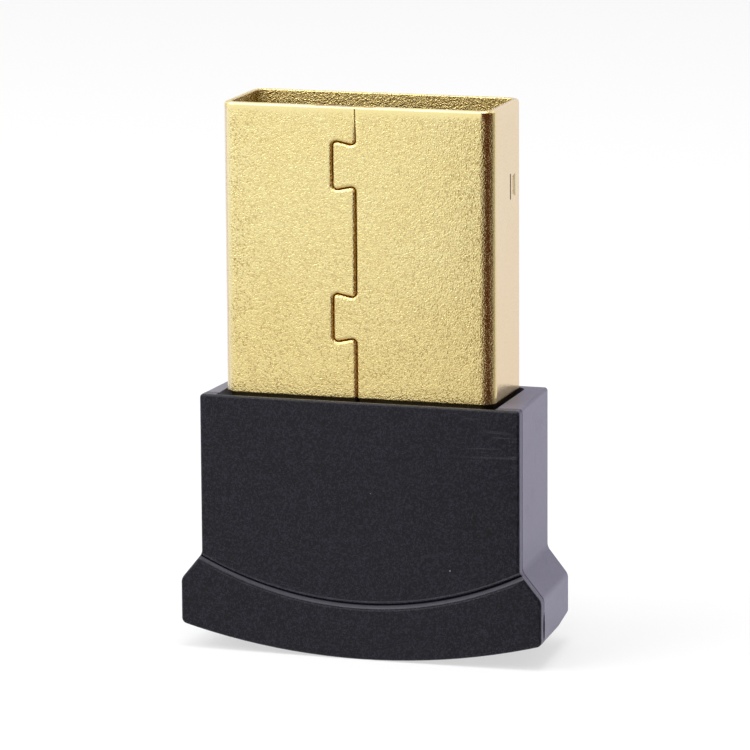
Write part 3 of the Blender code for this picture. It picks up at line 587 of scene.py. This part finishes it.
def arc_groove(cover):
    """Cuts the curved groove across the front, and rounds its edges."""
    bpy.ops.object.select_all(action="DESELECT")
    bpy.ops.mesh.primitive_torus_add(
        major_segments=720,
        minor_segments=24,
        major_radius=GROOVE_RADIUS,
        minor_radius=GROOVE_ROD,
        location=(0, FRONT_FACE - GROOVE_ROD + GROOVE_DEPTH, GROOVE_CENTRE),
        rotation=(math.pi / 2, 0, 0),
    )
    combine(cover, in_place(bpy.context.active_object, "groove_ring"))

    def groove_edge(edge):
        if not paired(edge) or middle(edge).y > FRONT_FACE + TINY / 4:
            return False
        reach = math.hypot(middle(edge).x, middle(edge).z - GROOVE_CENTRE)
        flat = min(face.normal.y for face in edge.link_faces) < -SQUARE
        return flat and abs(abs(reach - GROOVE_RADIUS) - GROOVE_ROD) < TINY

    with Editing(cover) as work:
        work.pick("edges", groove_edge)
        bpy.ops.mesh.bevel(offset=GROOVE_ROUND, segments=3)


def pocket_chamfer():
    """The cutter for the chamfer where the front cover meets the plug, a bar on edge."""
    chamfer_side = math.sqrt(2) * POCKET_CHAMFER
    bpy.ops.object.select_all(action="DESELECT")
    bpy.ops.mesh.primitive_cube_add(
        size=1,
        location=(PLUG_SHIFT, FRONT_INSIDE, HEIGHT),
        rotation=(math.pi / 4, 0, 0),
        scale=(2 * POCKET_HALF, chamfer_side, chamfer_side),
    )
    return in_place(bpy.context.active_object, "pocket_chamfer")


def front_cover(finish):
    cover = cover_body("front_cover_shell", FRONT_HALF, FRONT_FACE, FRONT_INSIDE, HEIGHT)
    rim_rounded(cover, FRONT_FACE, EDGE_ROUND)
    rim_rounded(cover, FRONT_INSIDE, PARTING_ROUND)
    arc_groove(cover)
    combine(cover, pocket_chamfer())
    combine(cover, pry_lens())
    for side in (-1, 1):
        pin = rod("pin", PIN_RADIUS, FRONT_INSIDE - TINY, PIN_END, side * PIN_SIDE, PIN_HEIGHT)
        with Editing(pin) as work:
            work.pick("faces", lambda face: face.normal.y > ALONG)
            bpy.ops.mesh.bevel(offset=PIN_RADIUS / 4, segments=3)
        combine(cover, pin, "UNION")
    smoothed(cover)
    fit(cover, "front_cover", finish)


def drafted(body, front, back):
    """Narrows a body towards its back, and lifts the back of its curved end."""
    share = 1 - (back - front) * math.tan(REAR_DRAFT) / REAR_HALF
    end_corner = FLARE_TOP - FLARE_HEIGHT - FLARE_ROUND

    def at_back(vert):
        return vert.co.y > back - TINY

    def at_end(vert):
        return at_back(vert) and vert.co.z < end_corner - TINY

    with Editing(body) as work:
        work.pick("verts", at_back)
        bpy.ops.transform.resize(value=(share, 1, 1), center_override=(0, back, 0))
        bpy.ops.mesh.select_all(action="SELECT")
        bend = (0, back - END_RELIEF_DEPTH, 0)
        bpy.ops.mesh.bisect(plane_co=bend, plane_no=(0, 1, 0))
        work.pick("verts", at_end)
        bpy.ops.transform.translate(value=(0, 0, END_RELIEF))


def rear_cover(finish):
    cover = cover_body("rear_cover_shell", REAR_HALF, REAR_RIM, REAR_FACE, HEIGHT)
    drafted(cover, REAR_RIM, REAR_FACE)
    rim_rounded(cover, REAR_RIM, PARTING_ROUND)
    rim_rounded(cover, REAR_FACE, EDGE_ROUND)
    inside_back = REAR_FACE - BACK_WALL
    inside_top = HEIGHT - TOP_WALL
    combine(cover, cover_body("cavity", REAR_HALF, REAR_RIM - 1, inside_back, inside_top, WALL))
    pocket = block(
        "plug_pocket",
        (PLUG_SHIFT - POCKET_HALF, REAR_RIM - 1, SHELL_END),
        (PLUG_SHIFT + POCKET_HALF, POCKET_BACK, HEIGHT + 1),
    )
    with Editing(pocket) as work:
        work.pick("edges", lambda edge: parallel(edge, 2) and middle(edge).y > 0)
        bpy.ops.mesh.bevel(offset=SHELL_CORNER, segments=8)
    combine(cover, pocket)

    def pocket_edge(edge):
        if not paired(edge) or abs(middle(edge).z - HEIGHT) > TINY:
            return False
        inner = abs(middle(edge).x - PLUG_SHIFT) < POCKET_HALF + TINY
        within = REAR_RIM + PARTING_ROUND < middle(edge).y < POCKET_BACK + TINY
        return inner and within and max(face.normal.z for face in edge.link_faces) > ALONG

    with Editing(cover) as work:
        work.pick("edges", pocket_edge)
        bpy.ops.mesh.bevel(offset=POCKET_ROUND, segments=3, clamp_overlap=True)
    combine(cover, pry_lens())
    for side in (-1, 1):
        x = side * PIN_SIDE
        boss = rod("boss", BOSS_RADIUS, BOSS_RIM, inside_back + TINY, x, PIN_HEIGHT)
        combine(cover, boss, "UNION")
        hole = rod("boss_hole", BOSS_BORE, BOSS_RIM - 1, PIN_END + TINY, x, PIN_HEIGHT)
        combine(cover, hole)
    smoothed(cover)
    fit(cover, "rear_cover", finish)


# Finishes


class Value:
    """A socket that sums and products can be written with."""

    def __init__(self, finish, socket):
        self.finish = finish
        self.socket = socket

    def _math(self, operation, first, second=0.0):
        inputs = {0: first, 1: second}
        return self.finish.node("ShaderNodeMath", {"operation": operation}, inputs)

    def __add__(self, other):
        return self._math("ADD", self, other)

    def __radd__(self, other):
        return self._math("ADD", other, self)

    def __sub__(self, other):
        return self._math("SUBTRACT", self, other)

    def __rsub__(self, other):
        return self._math("SUBTRACT", other, self)

    def __mul__(self, other):
        return self._math("MULTIPLY", self, other)

    def __rmul__(self, other):
        return self._math("MULTIPLY", other, self)

    def __pow__(self, other):
        return self._math("POWER", self, other)

    def __abs__(self):
        return self._math("ABSOLUTE", self)

    def most(self, other):
        return self._math("MAXIMUM", self, other)

    def step(self, low, high):
        """0 below low, 1 above high, and smooth between them."""
        settings = {"interpolation_type": "SMOOTHSTEP"}
        return self.finish.node("ShaderNodeMapRange", settings, {0: self, 1: low, 2: high})

    def band(self, start, full, fading, end):
        """1 between full and fading, and 0 outside start and end."""
        return self.step(start, full) * (1 - self.step(fading, end))


class Finish:
    """A material whose nodes read the place on the object in millimetres."""

    def __init__(self, name, **uniform):
        self.material = bpy.data.materials.new(name)
        self.material.use_nodes = True
        self.tree = self.material.node_tree
        self.shader = self.tree.nodes["Principled BSDF"]
        for socket, value in uniform.items():
            self.shader.inputs[socket.replace("_", " ")].default_value = value
        metres = self.node("ShaderNodeTexCoord", {}, {}, "Object")
        scaled = {0: metres, "Scale": 1 / MM}
        self.place = self.node("ShaderNodeVectorMath", {"operation": "SCALE"}, scaled)
        self.axes = [
            self.node("ShaderNodeSeparateXYZ", {}, {0: self.place}, axis) for axis in range(3)
        ]

    def node(self, kind, settings, inputs, output=0):
        """A new node's output. Its inputs are sockets to link or values to set."""
        made = self.tree.nodes.new(kind)
        for name, value in settings.items():
            setattr(made, name, value)
        for name, value in inputs.items():
            if isinstance(value, Value):
                self.tree.links.new(value.socket, made.inputs[name])
            else:
                made.inputs[name].default_value = value
        return Value(self, made.outputs[output])

    def stretched(self, x, y, z):
        """The place on the object. Patterns run long where an axis is scaled down."""
        inputs = {"Vector": self.place, "Scale": (x, y, z)}
        return self.node("ShaderNodeMapping", {}, inputs)

    def noise(self, size, detail=2.0, roughness=0.5, place=None):
        """Cloudy noise from about 0.2 to 0.8, with grains of this size."""
        inputs = {
            "Vector": place or self.place,
            "Scale": 1 / size,
            "Detail": detail,
            "Roughness": roughness,
        }
        return self.node("ShaderNodeTexNoise", {}, inputs)

    def cells(self, size, place=None, randomness=1.0):
        """Distance to the nearest of the points strewn at about this spacing."""
        inputs = {
            "Vector": place or self.place,
            "Scale": 1 / size,
            "Randomness": randomness,
        }
        return self.node("ShaderNodeTexVoronoi", {}, inputs, "Distance")

    def mix(self, share, first, second):
        """A colour between two colours."""
        inputs = {
            0: share,
            6: (*first, 1.0) if isinstance(first, tuple) else first,
            7: (*second, 1.0) if isinstance(second, tuple) else second,
        }
        return self.node("ShaderNodeMix", {"data_type": "RGBA"}, inputs, 2)

    def feed(self, **sockets):
        """Links values to the shader's inputs of these names."""
        for name, value in sockets.items():
            self.tree.links.new(value.socket, self.shader.inputs[name.replace("_", " ")])

    def bump(self, height, depth):
        """Relief of this depth in millimetres."""
        inputs = {"Strength": 1.0, "Distance": depth * MM, "Height": height}
        return self.node("ShaderNodeBump", {}, inputs)


def gold_plating():
    """Plating over pebbled sheet, with a painted highlight on the left bend and painted shade
    low down, inside the mouth and in the seam.
    """
    gold = Finish("gold_plating", Metallic=1.0)
    x, y, z = gold.axes
    centre = (SHELL_LOW + SHELL_HIGH) / 2
    half = (SHELL_HIGH - SHELL_LOW) / 2
    across, deep = abs(x - centre.x), abs(y - centre.y)

    # Parts of the shell
    inside = 1 - across.step(half.x - 0.2, half.x - 0.1)
    inside = inside * (1 - deep.step(half.y - 0.2, half.y - 0.1))
    below_mouth = 1 - z.step(SHELL_HIGH.z - 0.5, SHELL_HIGH.z - 0.1)
    left_bend = 1 - x.step(SHELL_LOW.x + 0.05, SHELL_LOW.x + 0.55)
    right_wall = x.step(SHELL_HIGH.x - 0.2, SHELL_HIGH.x - 0.02)
    wide_face = 1 - left_bend - right_wall
    lower = 1 - z.step(9.0, 21.0)
    edges = across.step(half.x - 2.4, half.x - 0.4)
    joint = 1 - z.step(STEP_TOP - 0.04, STEP_TOP)
    from_seam = abs(x - PLUG_SHIFT + TAB_REACH / 2)
    in_seam = (y - SHELL_LOW.y).band(0.015, 0.08, 0.24, 0.28) * (1 - from_seam.step(1.2, 1.4))

    # Pebbled surface
    sanded = inside.most(below_mouth * (0.15 + 0.85 * wide_face))
    pebbles = gold.noise(0.1, 2.0, 0.6) * 0.65 + gold.noise(0.05, 1.0, 0.5) * 0.35
    height = (pebbles - 0.5) * sanded * (1 + inside * 0.4) * (1 - joint)

    # Tones, painted shade and a painted highlight
    clouds = gold.noise(3.0, 3.0, 0.6)
    base = gold.mix(clouds.step(0.35, 0.7), GOLD, LIGHT_GOLD)
    # Painted shade: the gold turns warmer and darker low down and inside the mouth
    warm_shaded = gold.mix(lower.most(inside) * 0.8, base, WARM_SHADE_GOLD)
    hollows = (1 - pebbles.step(0.38, 0.56)) * sanded
    shaded = gold.mix(hollows * 0.55, warm_shaded, SHADED_GOLD)
    # Painted shade: the pits darken in patches low down and near the bends, and the mouth's
    # inside darkens
    patchy = lower.most(edges) * gold.noise(1.1, 3.0, 0.6).step(0.3, 0.6)
    dark = (1 - pebbles.step(0.36, 0.46)) * sanded
    colour = gold.mix((dark * patchy * 0.85).most(inside * 0.2), shaded, DARK_PIT_SHADE_GOLD)
    # Painted highlight on the left bend, below the mouth's rim
    painted_highlight = left_bend * (1 - inside) * below_mouth
    bright = gold.mix(painted_highlight * 0.75, colour, HIGHLIGHT_GOLD)
    # Painted shade in the seam's rolled lips and slit
    seam_shaded = gold.mix(in_seam * 0.7, bright, SEAM_SHADE)
    gold.feed(
        Base_Color=gold.mix(joint * 0.95, seam_shaded, JOINT_SHADE),
        Roughness=0.13 + wide_face * 0.07 + clouds * 0.05 + dark * 0.12 + joint * 0.3,
        Normal=gold.bump(height, 0.04),
    )
    return gold.material


def groove_marks(plastic, grain, clouds, marked, base):
    """The groove's painted highlights on its edges and painted shade in its bottom, and painted
    light on the cover's sides.
    """
    x, y, z = plastic.axes
    up = z - GROOVE_CENTRE
    reach = (x * x + up * up) ** 0.5 - GROOVE_RADIUS
    near_face = 1 - y.step(FRONT_FACE + 0.2, FRONT_FACE + 0.3)
    lower_side = reach.band(0.01, 0.05, 0.1, 0.15)
    upper_lip = reach.band(-0.23, -0.2, -0.17, -0.14)
    uneven = 0.7 + 0.6 * (grain - 0.5) + 0.3 * clouds
    uneven = (0.45 + 0.55 * x.step(-6.0, -1.0)) * uneven
    # Painted highlights on the groove's lower side and upper lip
    groove_highlights = (lower_side + upper_lip * 0.4) * near_face * uneven
    marked = plastic.mix(groove_highlights, marked, GROOVE_HIGHLIGHT)
    # Painted light: the front cover's sides behind its front face are lighter
    side_faces = y.step(FRONT_FACE + 0.06, FRONT_FACE + 0.14)
    side_faces = side_faces * (1 - z.step(HEIGHT - 0.15, HEIGHT - 0.05))
    marked = plastic.mix(side_faces, marked, SIDE_LIGHT)
    # Painted shade: the groove's upper half turns metallic over the near-black base
    groove_shade = reach.band(-0.14, -0.11, -0.03, 0.01) * near_face
    plastic.feed(Metallic=groove_shade)
    return plastic.mix(groove_shade, marked, base)


def cover_plastic(name, base, roughness, texture, ior, sheen, grooved=False):
    """Moulded plastic with a sparked surface whose peaks carry painted glints, faint clouds,
    scuffs and specks of dust.
    """
    plastic = Finish(
        name, IOR=ior, Sheen_Weight=sheen, Sheen_Roughness=0.4, Sheen_Tint=SHEEN_TINT
    )
    x, _, z = plastic.axes
    grain = plastic.noise(0.09, 2.0, 0.6)
    height = grain * 0.6 + plastic.noise(0.045, 1.0, 0.5) * 0.4
    clouds = plastic.noise(2.5, 3.0, 0.6)
    patchy = plastic.noise(0.8, 4.0, 0.7).step(0.52, 0.75)
    rubbed = plastic.noise(0.09, 1.0, 0.5, plastic.stretched(0.04, 1, 1))
    scuffs = rubbed.step(0.6, 0.68) * (x.step(3.5, 6.0) * z.band(8.6, 9.6, 10.6, 11.0))
    specks = 1 - plastic.cells(1.9).step(0.012, 0.022)
    dust = specks * plastic.noise(2.2, 0.0).step(0.56, 0.6)
    tone = plastic.mix(clouds.step(0.3, 0.7), base, tuple(c * 1.4 for c in base))
    # Painted glints: the peaks of the grain are lighter
    glint_colour = tuple(2 * part + more for part, more in zip(base, (0.018, 0.017, 0.026)))
    light = plastic.mix(height.step(0.5, 0.59) * 0.85, tone, glint_colour)
    marked = plastic.mix(scuffs * 0.3, light, SCUFF)
    if grooved:
        marked = groove_marks(plastic, grain, clouds, marked, base)
    plastic.feed(
        Base_Color=plastic.mix(dust * 0.7, marked, DUST),
        Roughness=roughness + clouds * 0.1 + patchy * 0.06 + scuffs * 0.1,
        Normal=plastic.bump(height, texture),
    )
    return plastic.material


def plain_plastic(name, base, roughness, grain_size):
    """Moulded plastic for the pieces inside."""
    plastic = Finish(name)
    grain = plastic.noise(grain_size, 3.0, 0.6)
    flow = plastic.noise(1.6, 2.0, 0.5)
    colour = plastic.mix(flow.step(0.3, 0.7), base, tuple(c * 1.5 + 0.004 for c in base))
    plastic.feed(
        Base_Color=colour,
        Roughness=roughness + grain * 0.12,
        Normal=plastic.bump(grain, 0.004),
    )
    return plastic.material


def rolled_metal(name, base, roughness, along):
    """Strip or can metal with fine lines along one axis."""
    metal = Finish(name, Metallic=1.0)
    scale = (0.04 if axis == along else 1 for axis in range(3))
    lines = metal.noise(0.03, 2.0, 0.6, metal.stretched(*scale))
    clouds = metal.noise(0.8, 2.0, 0.5)
    colour = metal.mix(clouds.step(0.3, 0.7), base, tuple(c * 0.86 for c in base))
    metal.feed(
        Base_Color=colour,
        Roughness=roughness + lines * 0.15,
        Normal=metal.bump(lines, 0.002),
    )
    return metal.material


def solder_mask():
    """Green lacquer over fine tracks, with bare pads."""
    board = Finish("board_laminate", IOR=1.5)
    weave = board.noise(0.12, 1.0, 0.5, board.stretched(1, 1, 0.3))
    cells = board.cells(0.9, board.stretched(1, 0, 1), 0.6)
    pads = 1 - cells.step(0.1, 0.13)
    tracks = 1 - abs(board.noise(1.4, 0.0, 0.5) - 0.5).step(0.012, 0.02)
    green = board.mix(tracks * 0.8, (0.008, 0.09, 0.035), (0.02, 0.17, 0.06))
    colour = board.mix(pads * 0.9, green, PAD_GOLD)
    height = tracks * 0.6 + pads * 0.8 + weave * 0.3
    board.feed(
        Base_Color=colour,
        Roughness=0.32 + weave * 0.12,
        Normal=board.bump(height, 0.012),
    )
    return board.material


def end_capped(name, node, base, roughness):
    """A small fired part with a tinned cap on each end."""
    low, high = (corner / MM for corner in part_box(node))
    part = Finish(name)
    across = abs(part.axes[0] - (low.x + high.x) / 2)
    half = (high.x - low.x) / 2
    cap = across.step(half * 0.49, half * 0.51)
    grain = part.noise(0.08, 3.0, 0.6)
    dull = part.mix(grain.step(0.3, 0.7), base, tuple(c * 0.75 for c in base))
    part.feed(
        Base_Color=part.mix(cap, dull, TIN),
        Metallic=cap * 0.95,
        Roughness=roughness - cap * 0.15 + grain * 0.12,
        Normal=part.bump(grain, 0.006),
    )
    return part.material


def chip_finish(name, node):
    """Moulded epoxy with tinned leads that stand outside its body."""
    low, high = (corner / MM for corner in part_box(node))
    chip = Finish(name)
    up = abs(chip.axes[2] - (low.z + high.z) / 2)
    half = (high.z - low.z) / 2
    lead = up.step(half - 0.36, half - 0.34)
    grain = chip.noise(0.05, 3.0, 0.6)
    chip.feed(
        Base_Color=chip.mix(lead, (0.02, 0.02, 0.021), LEAD_TIN),
        Metallic=lead * 0.95,
        Roughness=0.5 - lead * 0.2 + grain * 0.12,
        Normal=chip.bump(grain, 0.004),
    )
    return chip.material


def finish_inner_pieces():
    """Gives finishes to the pieces that keep the CAD's own meshes."""
    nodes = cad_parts

    def give(material, *names):
        for name in names:
            nodes[name].data.materials.clear()
            nodes[name].data.materials.append(material)

    give(plain_plastic("carrier_plastic", (0.013, 0.013, 0.014), 0.42, 0.1), "contact_carrier")
    contacts = ("contact_power", "contact_data_minus", "contact_data_plus", "contact_ground")
    give(rolled_metal("contact_gold", (0.9, 0.68, 0.3), 0.2, 2), *contacts)
    give(rolled_metal("antenna_copper", (0.78, 0.47, 0.28), 0.3, 0), "antenna_trace")
    give(rolled_metal("crystal_metal", (0.72, 0.72, 0.7), 0.24, 0), "crystal")
    give(solder_mask(), "circuit_board")
    give(plain_plastic("chip_black", (0.018, 0.018, 0.018), 0.5, 0.05), "radio_chip")
    for name in ("memory_chip", "voltage_regulator"):
        give(chip_finish(name + "_finish", name), name)
    capped = (
        (("capacitor", "antenna_filter"), (0.42, 0.27, 0.15), 0.5),
        (("resistor",), (0.02, 0.02, 0.022), 0.4),
        (("supply_inductor",), (0.07, 0.07, 0.08), 0.55),
    )
    for starts, base, roughness in capped:
        for name in nodes:
            if name.startswith(starts):
                give(end_capped(name + "_finish", name, base, roughness), name)


# Studio


def pale_floor():
    """White paper. Reflections see painted shade on it close to the object, and painted lavender
    light on it behind the object.
    """
    bpy.ops.object.select_all(action="DESELECT")
    bpy.ops.mesh.primitive_plane_add(size=4, location=(0, 0, 0))
    floor = in_place(bpy.context.active_object, "pale_floor")
    paper = Finish("paper", Base_Color=(0.93, 0.93, 0.93, 1), Roughness=0.9, IOR=1.3)
    camera_ray, glossy_ray, through = (
        paper.node("ShaderNodeLightPath", {}, {}, f"Is {kind} Ray")
        for kind in ("Camera", "Glossy", "Transmission")
    )
    length = {"operation": "LENGTH"}
    reach = paper.node("ShaderNodeVectorMath", length, {0: paper.place}, "Value")
    far = camera_ray.most(reach.step(20.0, 118.0))
    # Painted shade on the floor near the object, seen only by reflections
    painted_near_shade = paper.mix(far, (0.68, 0.68, 0.68), (1, 1, 1))
    # Painted lavender light on the floor behind the object, seen only by reflections
    behind = paper.axes[1].step(-2.0, 12.0) * glossy_ray
    painted_lavender_light = paper.mix(behind, painted_near_shade, (0.86, 0.82, 1.0))
    white = paper.node("ShaderNodeEmission", {}, {"Color": painted_lavender_light, "Strength": 1.0})
    share = camera_ray * 0.6 + glossy_ray.most(through)
    shader = Value(paper, paper.shader.outputs[0])
    mixed = paper.node("ShaderNodeMixShader", {}, {0: share, 1: shader, 2: white})
    out = paper.tree.nodes["Material Output"]
    paper.tree.links.new(mixed.socket, out.inputs["Surface"])
    floor.data.materials.append(paper.material)


def direction(azimuth, elevation):
    """From the object towards a viewer: azimuth 0 looks from the front, 90 from the right."""
    a, e = math.radians(azimuth), math.radians(elevation)
    return Vector((math.sin(a) * math.cos(e), -math.cos(a) * math.cos(e), math.sin(e)))


def card(name, azimuths, distance, height, colour):
    """A card that stands round the plug's right bend, and only reflections see."""
    first, last = azimuths
    steps = 8
    corner = Vector((SHELL_HIGH.x - SHELL_CORNER, SHELL_LOW.y + SHELL_CORNER, 0))

    def place(i):
        azimuth = first + (last - first) * i / steps
        return (corner + direction(azimuth, 0) * distance) * MM

    bpy.ops.object.select_all(action="DESELECT")
    bpy.ops.mesh.primitive_plane_add(size=MM, location=place(0))
    made = in_place(bpy.context.active_object, name)
    with Editing(made):
        bpy.ops.mesh.select_all(action="SELECT")
        bpy.ops.mesh.merge(type="CENTER")
        for i in range(steps):
            step = place(i + 1) - place(i)
            bpy.ops.mesh.extrude_region_move(TRANSFORM_OT_translate={"value": step})
        bpy.ops.mesh.select_all(action="SELECT")
        up = (0, 0, height * MM)
        bpy.ops.mesh.extrude_region_move(TRANSFORM_OT_translate={"value": up})
    made.visible_camera = False
    made.visible_shadow = False
    made.visible_diffuse = False
    felt = Finish(
        name + "_felt",
        Base_Color=(0, 0, 0, 1),
        Roughness=1.0,
        Specular_IOR_Level=0.0,
        Emission_Color=(*colour, 1),
        Emission_Strength=1.0,
    )
    made.data.materials.append(felt.material)


def lamp(name, azimuth, elevation, distance, size, energy):
    """A square softbox aimed at the adapter's middle."""
    back = direction(azimuth, elevation)
    light = bpy.data.lights.new(name, "AREA")
    light.shape = "SQUARE"
    light.size = size
    light.energy = energy
    made = bpy.data.objects.new(name, light)
    bpy.context.scene.collection.objects.link(made)
    made.location = Vector((0, 0, 0.012)) + back * distance
    made.rotation_mode = "QUATERNION"
    made.rotation_quaternion = (-back).to_track_quat("-Z", "Y")


def studio():
    """White surroundings, dimmer as light on the object, with lamps and cards."""
    world = bpy.data.worlds.new("studio")
    bpy.context.scene.world = world
    world.use_nodes = True
    tree = world.node_tree
    ground = tree.nodes["Background"]
    ground.inputs["Color"].default_value = (1, 1, 1, 1)
    rays = tree.nodes.new("ShaderNodeLightPath")
    strength = tree.nodes.new("ShaderNodeMapRange")
    tree.links.new(rays.outputs["Is Diffuse Ray"], strength.inputs["Value"])
    strength.inputs["To Min"].default_value = 1.0
    strength.inputs["To Max"].default_value = 0.6
    tree.links.new(strength.outputs[0], ground.inputs["Strength"])
    lamp("key_softbox", azimuth=-55, elevation=45, distance=0.4, size=0.3, energy=0.9)
    lamp("top_softbox", azimuth=20, elevation=78, distance=0.35, size=0.13, energy=0.5)
    card("dark_card", (3, 98), distance=14, height=35, colour=(0.08, 0.027, 0.014))
    card("grey_card", (100, 128), distance=40, height=35, colour=(0.4, 0.39, 0.37))
    card("lavender_card", (125, 200), distance=24, height=40, colour=(0.82, 0.77, 0.95))


def camera():
    """The photograph's viewpoint, fitted to the edges of the plug."""
    roll = math.radians(CAMERA_ROLL)
    back = direction(CAMERA_AZIMUTH, CAMERA_ELEVATION)
    right = direction(CAMERA_AZIMUTH + 90, 0)
    up = back.cross(right)
    turned_right = right * math.cos(roll) + up * math.sin(roll)
    turned_up = up * math.cos(roll) - right * math.sin(roll)
    centre = (SHELL_LOW + SHELL_HIGH) / 2
    mouth = Vector((centre.x, centre.y, SHELL_HIGH.z))
    aim = mouth + right * AIM_RIGHT - up * AIM_DOWN
    lens = bpy.data.cameras.new("camera")
    lens.sensor_width = SENSOR
    lens.lens = FOCAL_PIXELS / PICTURE_PIXELS * SENSOR
    lens.clip_start = 0.01
    made = bpy.data.objects.new("camera", lens)
    bpy.context.scene.collection.objects.link(made)
    place = Matrix((turned_right, turned_up, back)).transposed().to_4x4()
    place.translation = (aim + back * CAMERA_DISTANCE) * MM
    made.matrix_world = place
    bpy.context.scene.camera = made


bpy.context.scene.view_settings.view_transform = "Standard"
plug_shell(gold_plating())
front_cover(
    cover_plastic(
        "front_cover_plastic",
        base=(0.001, 0.0008, 0.003),
        roughness=0.33,
        texture=0.03,
        ior=1.34,
        sheen=0.3,
        grooved=True,
    )
)
# Painted light: the rear cover's base is lighter and more lavender than the front cover's same
# plastic, so its lit sides come out bright
rear_cover(
    cover_plastic(
        "rear_cover_plastic",
        base=(0.03, 0.028, 0.042),
        roughness=0.36,
        texture=0.01,
        ior=1.6,
        sheen=0.5,
    )
)
finish_inner_pieces()
pale_floor()
studio()
camera()
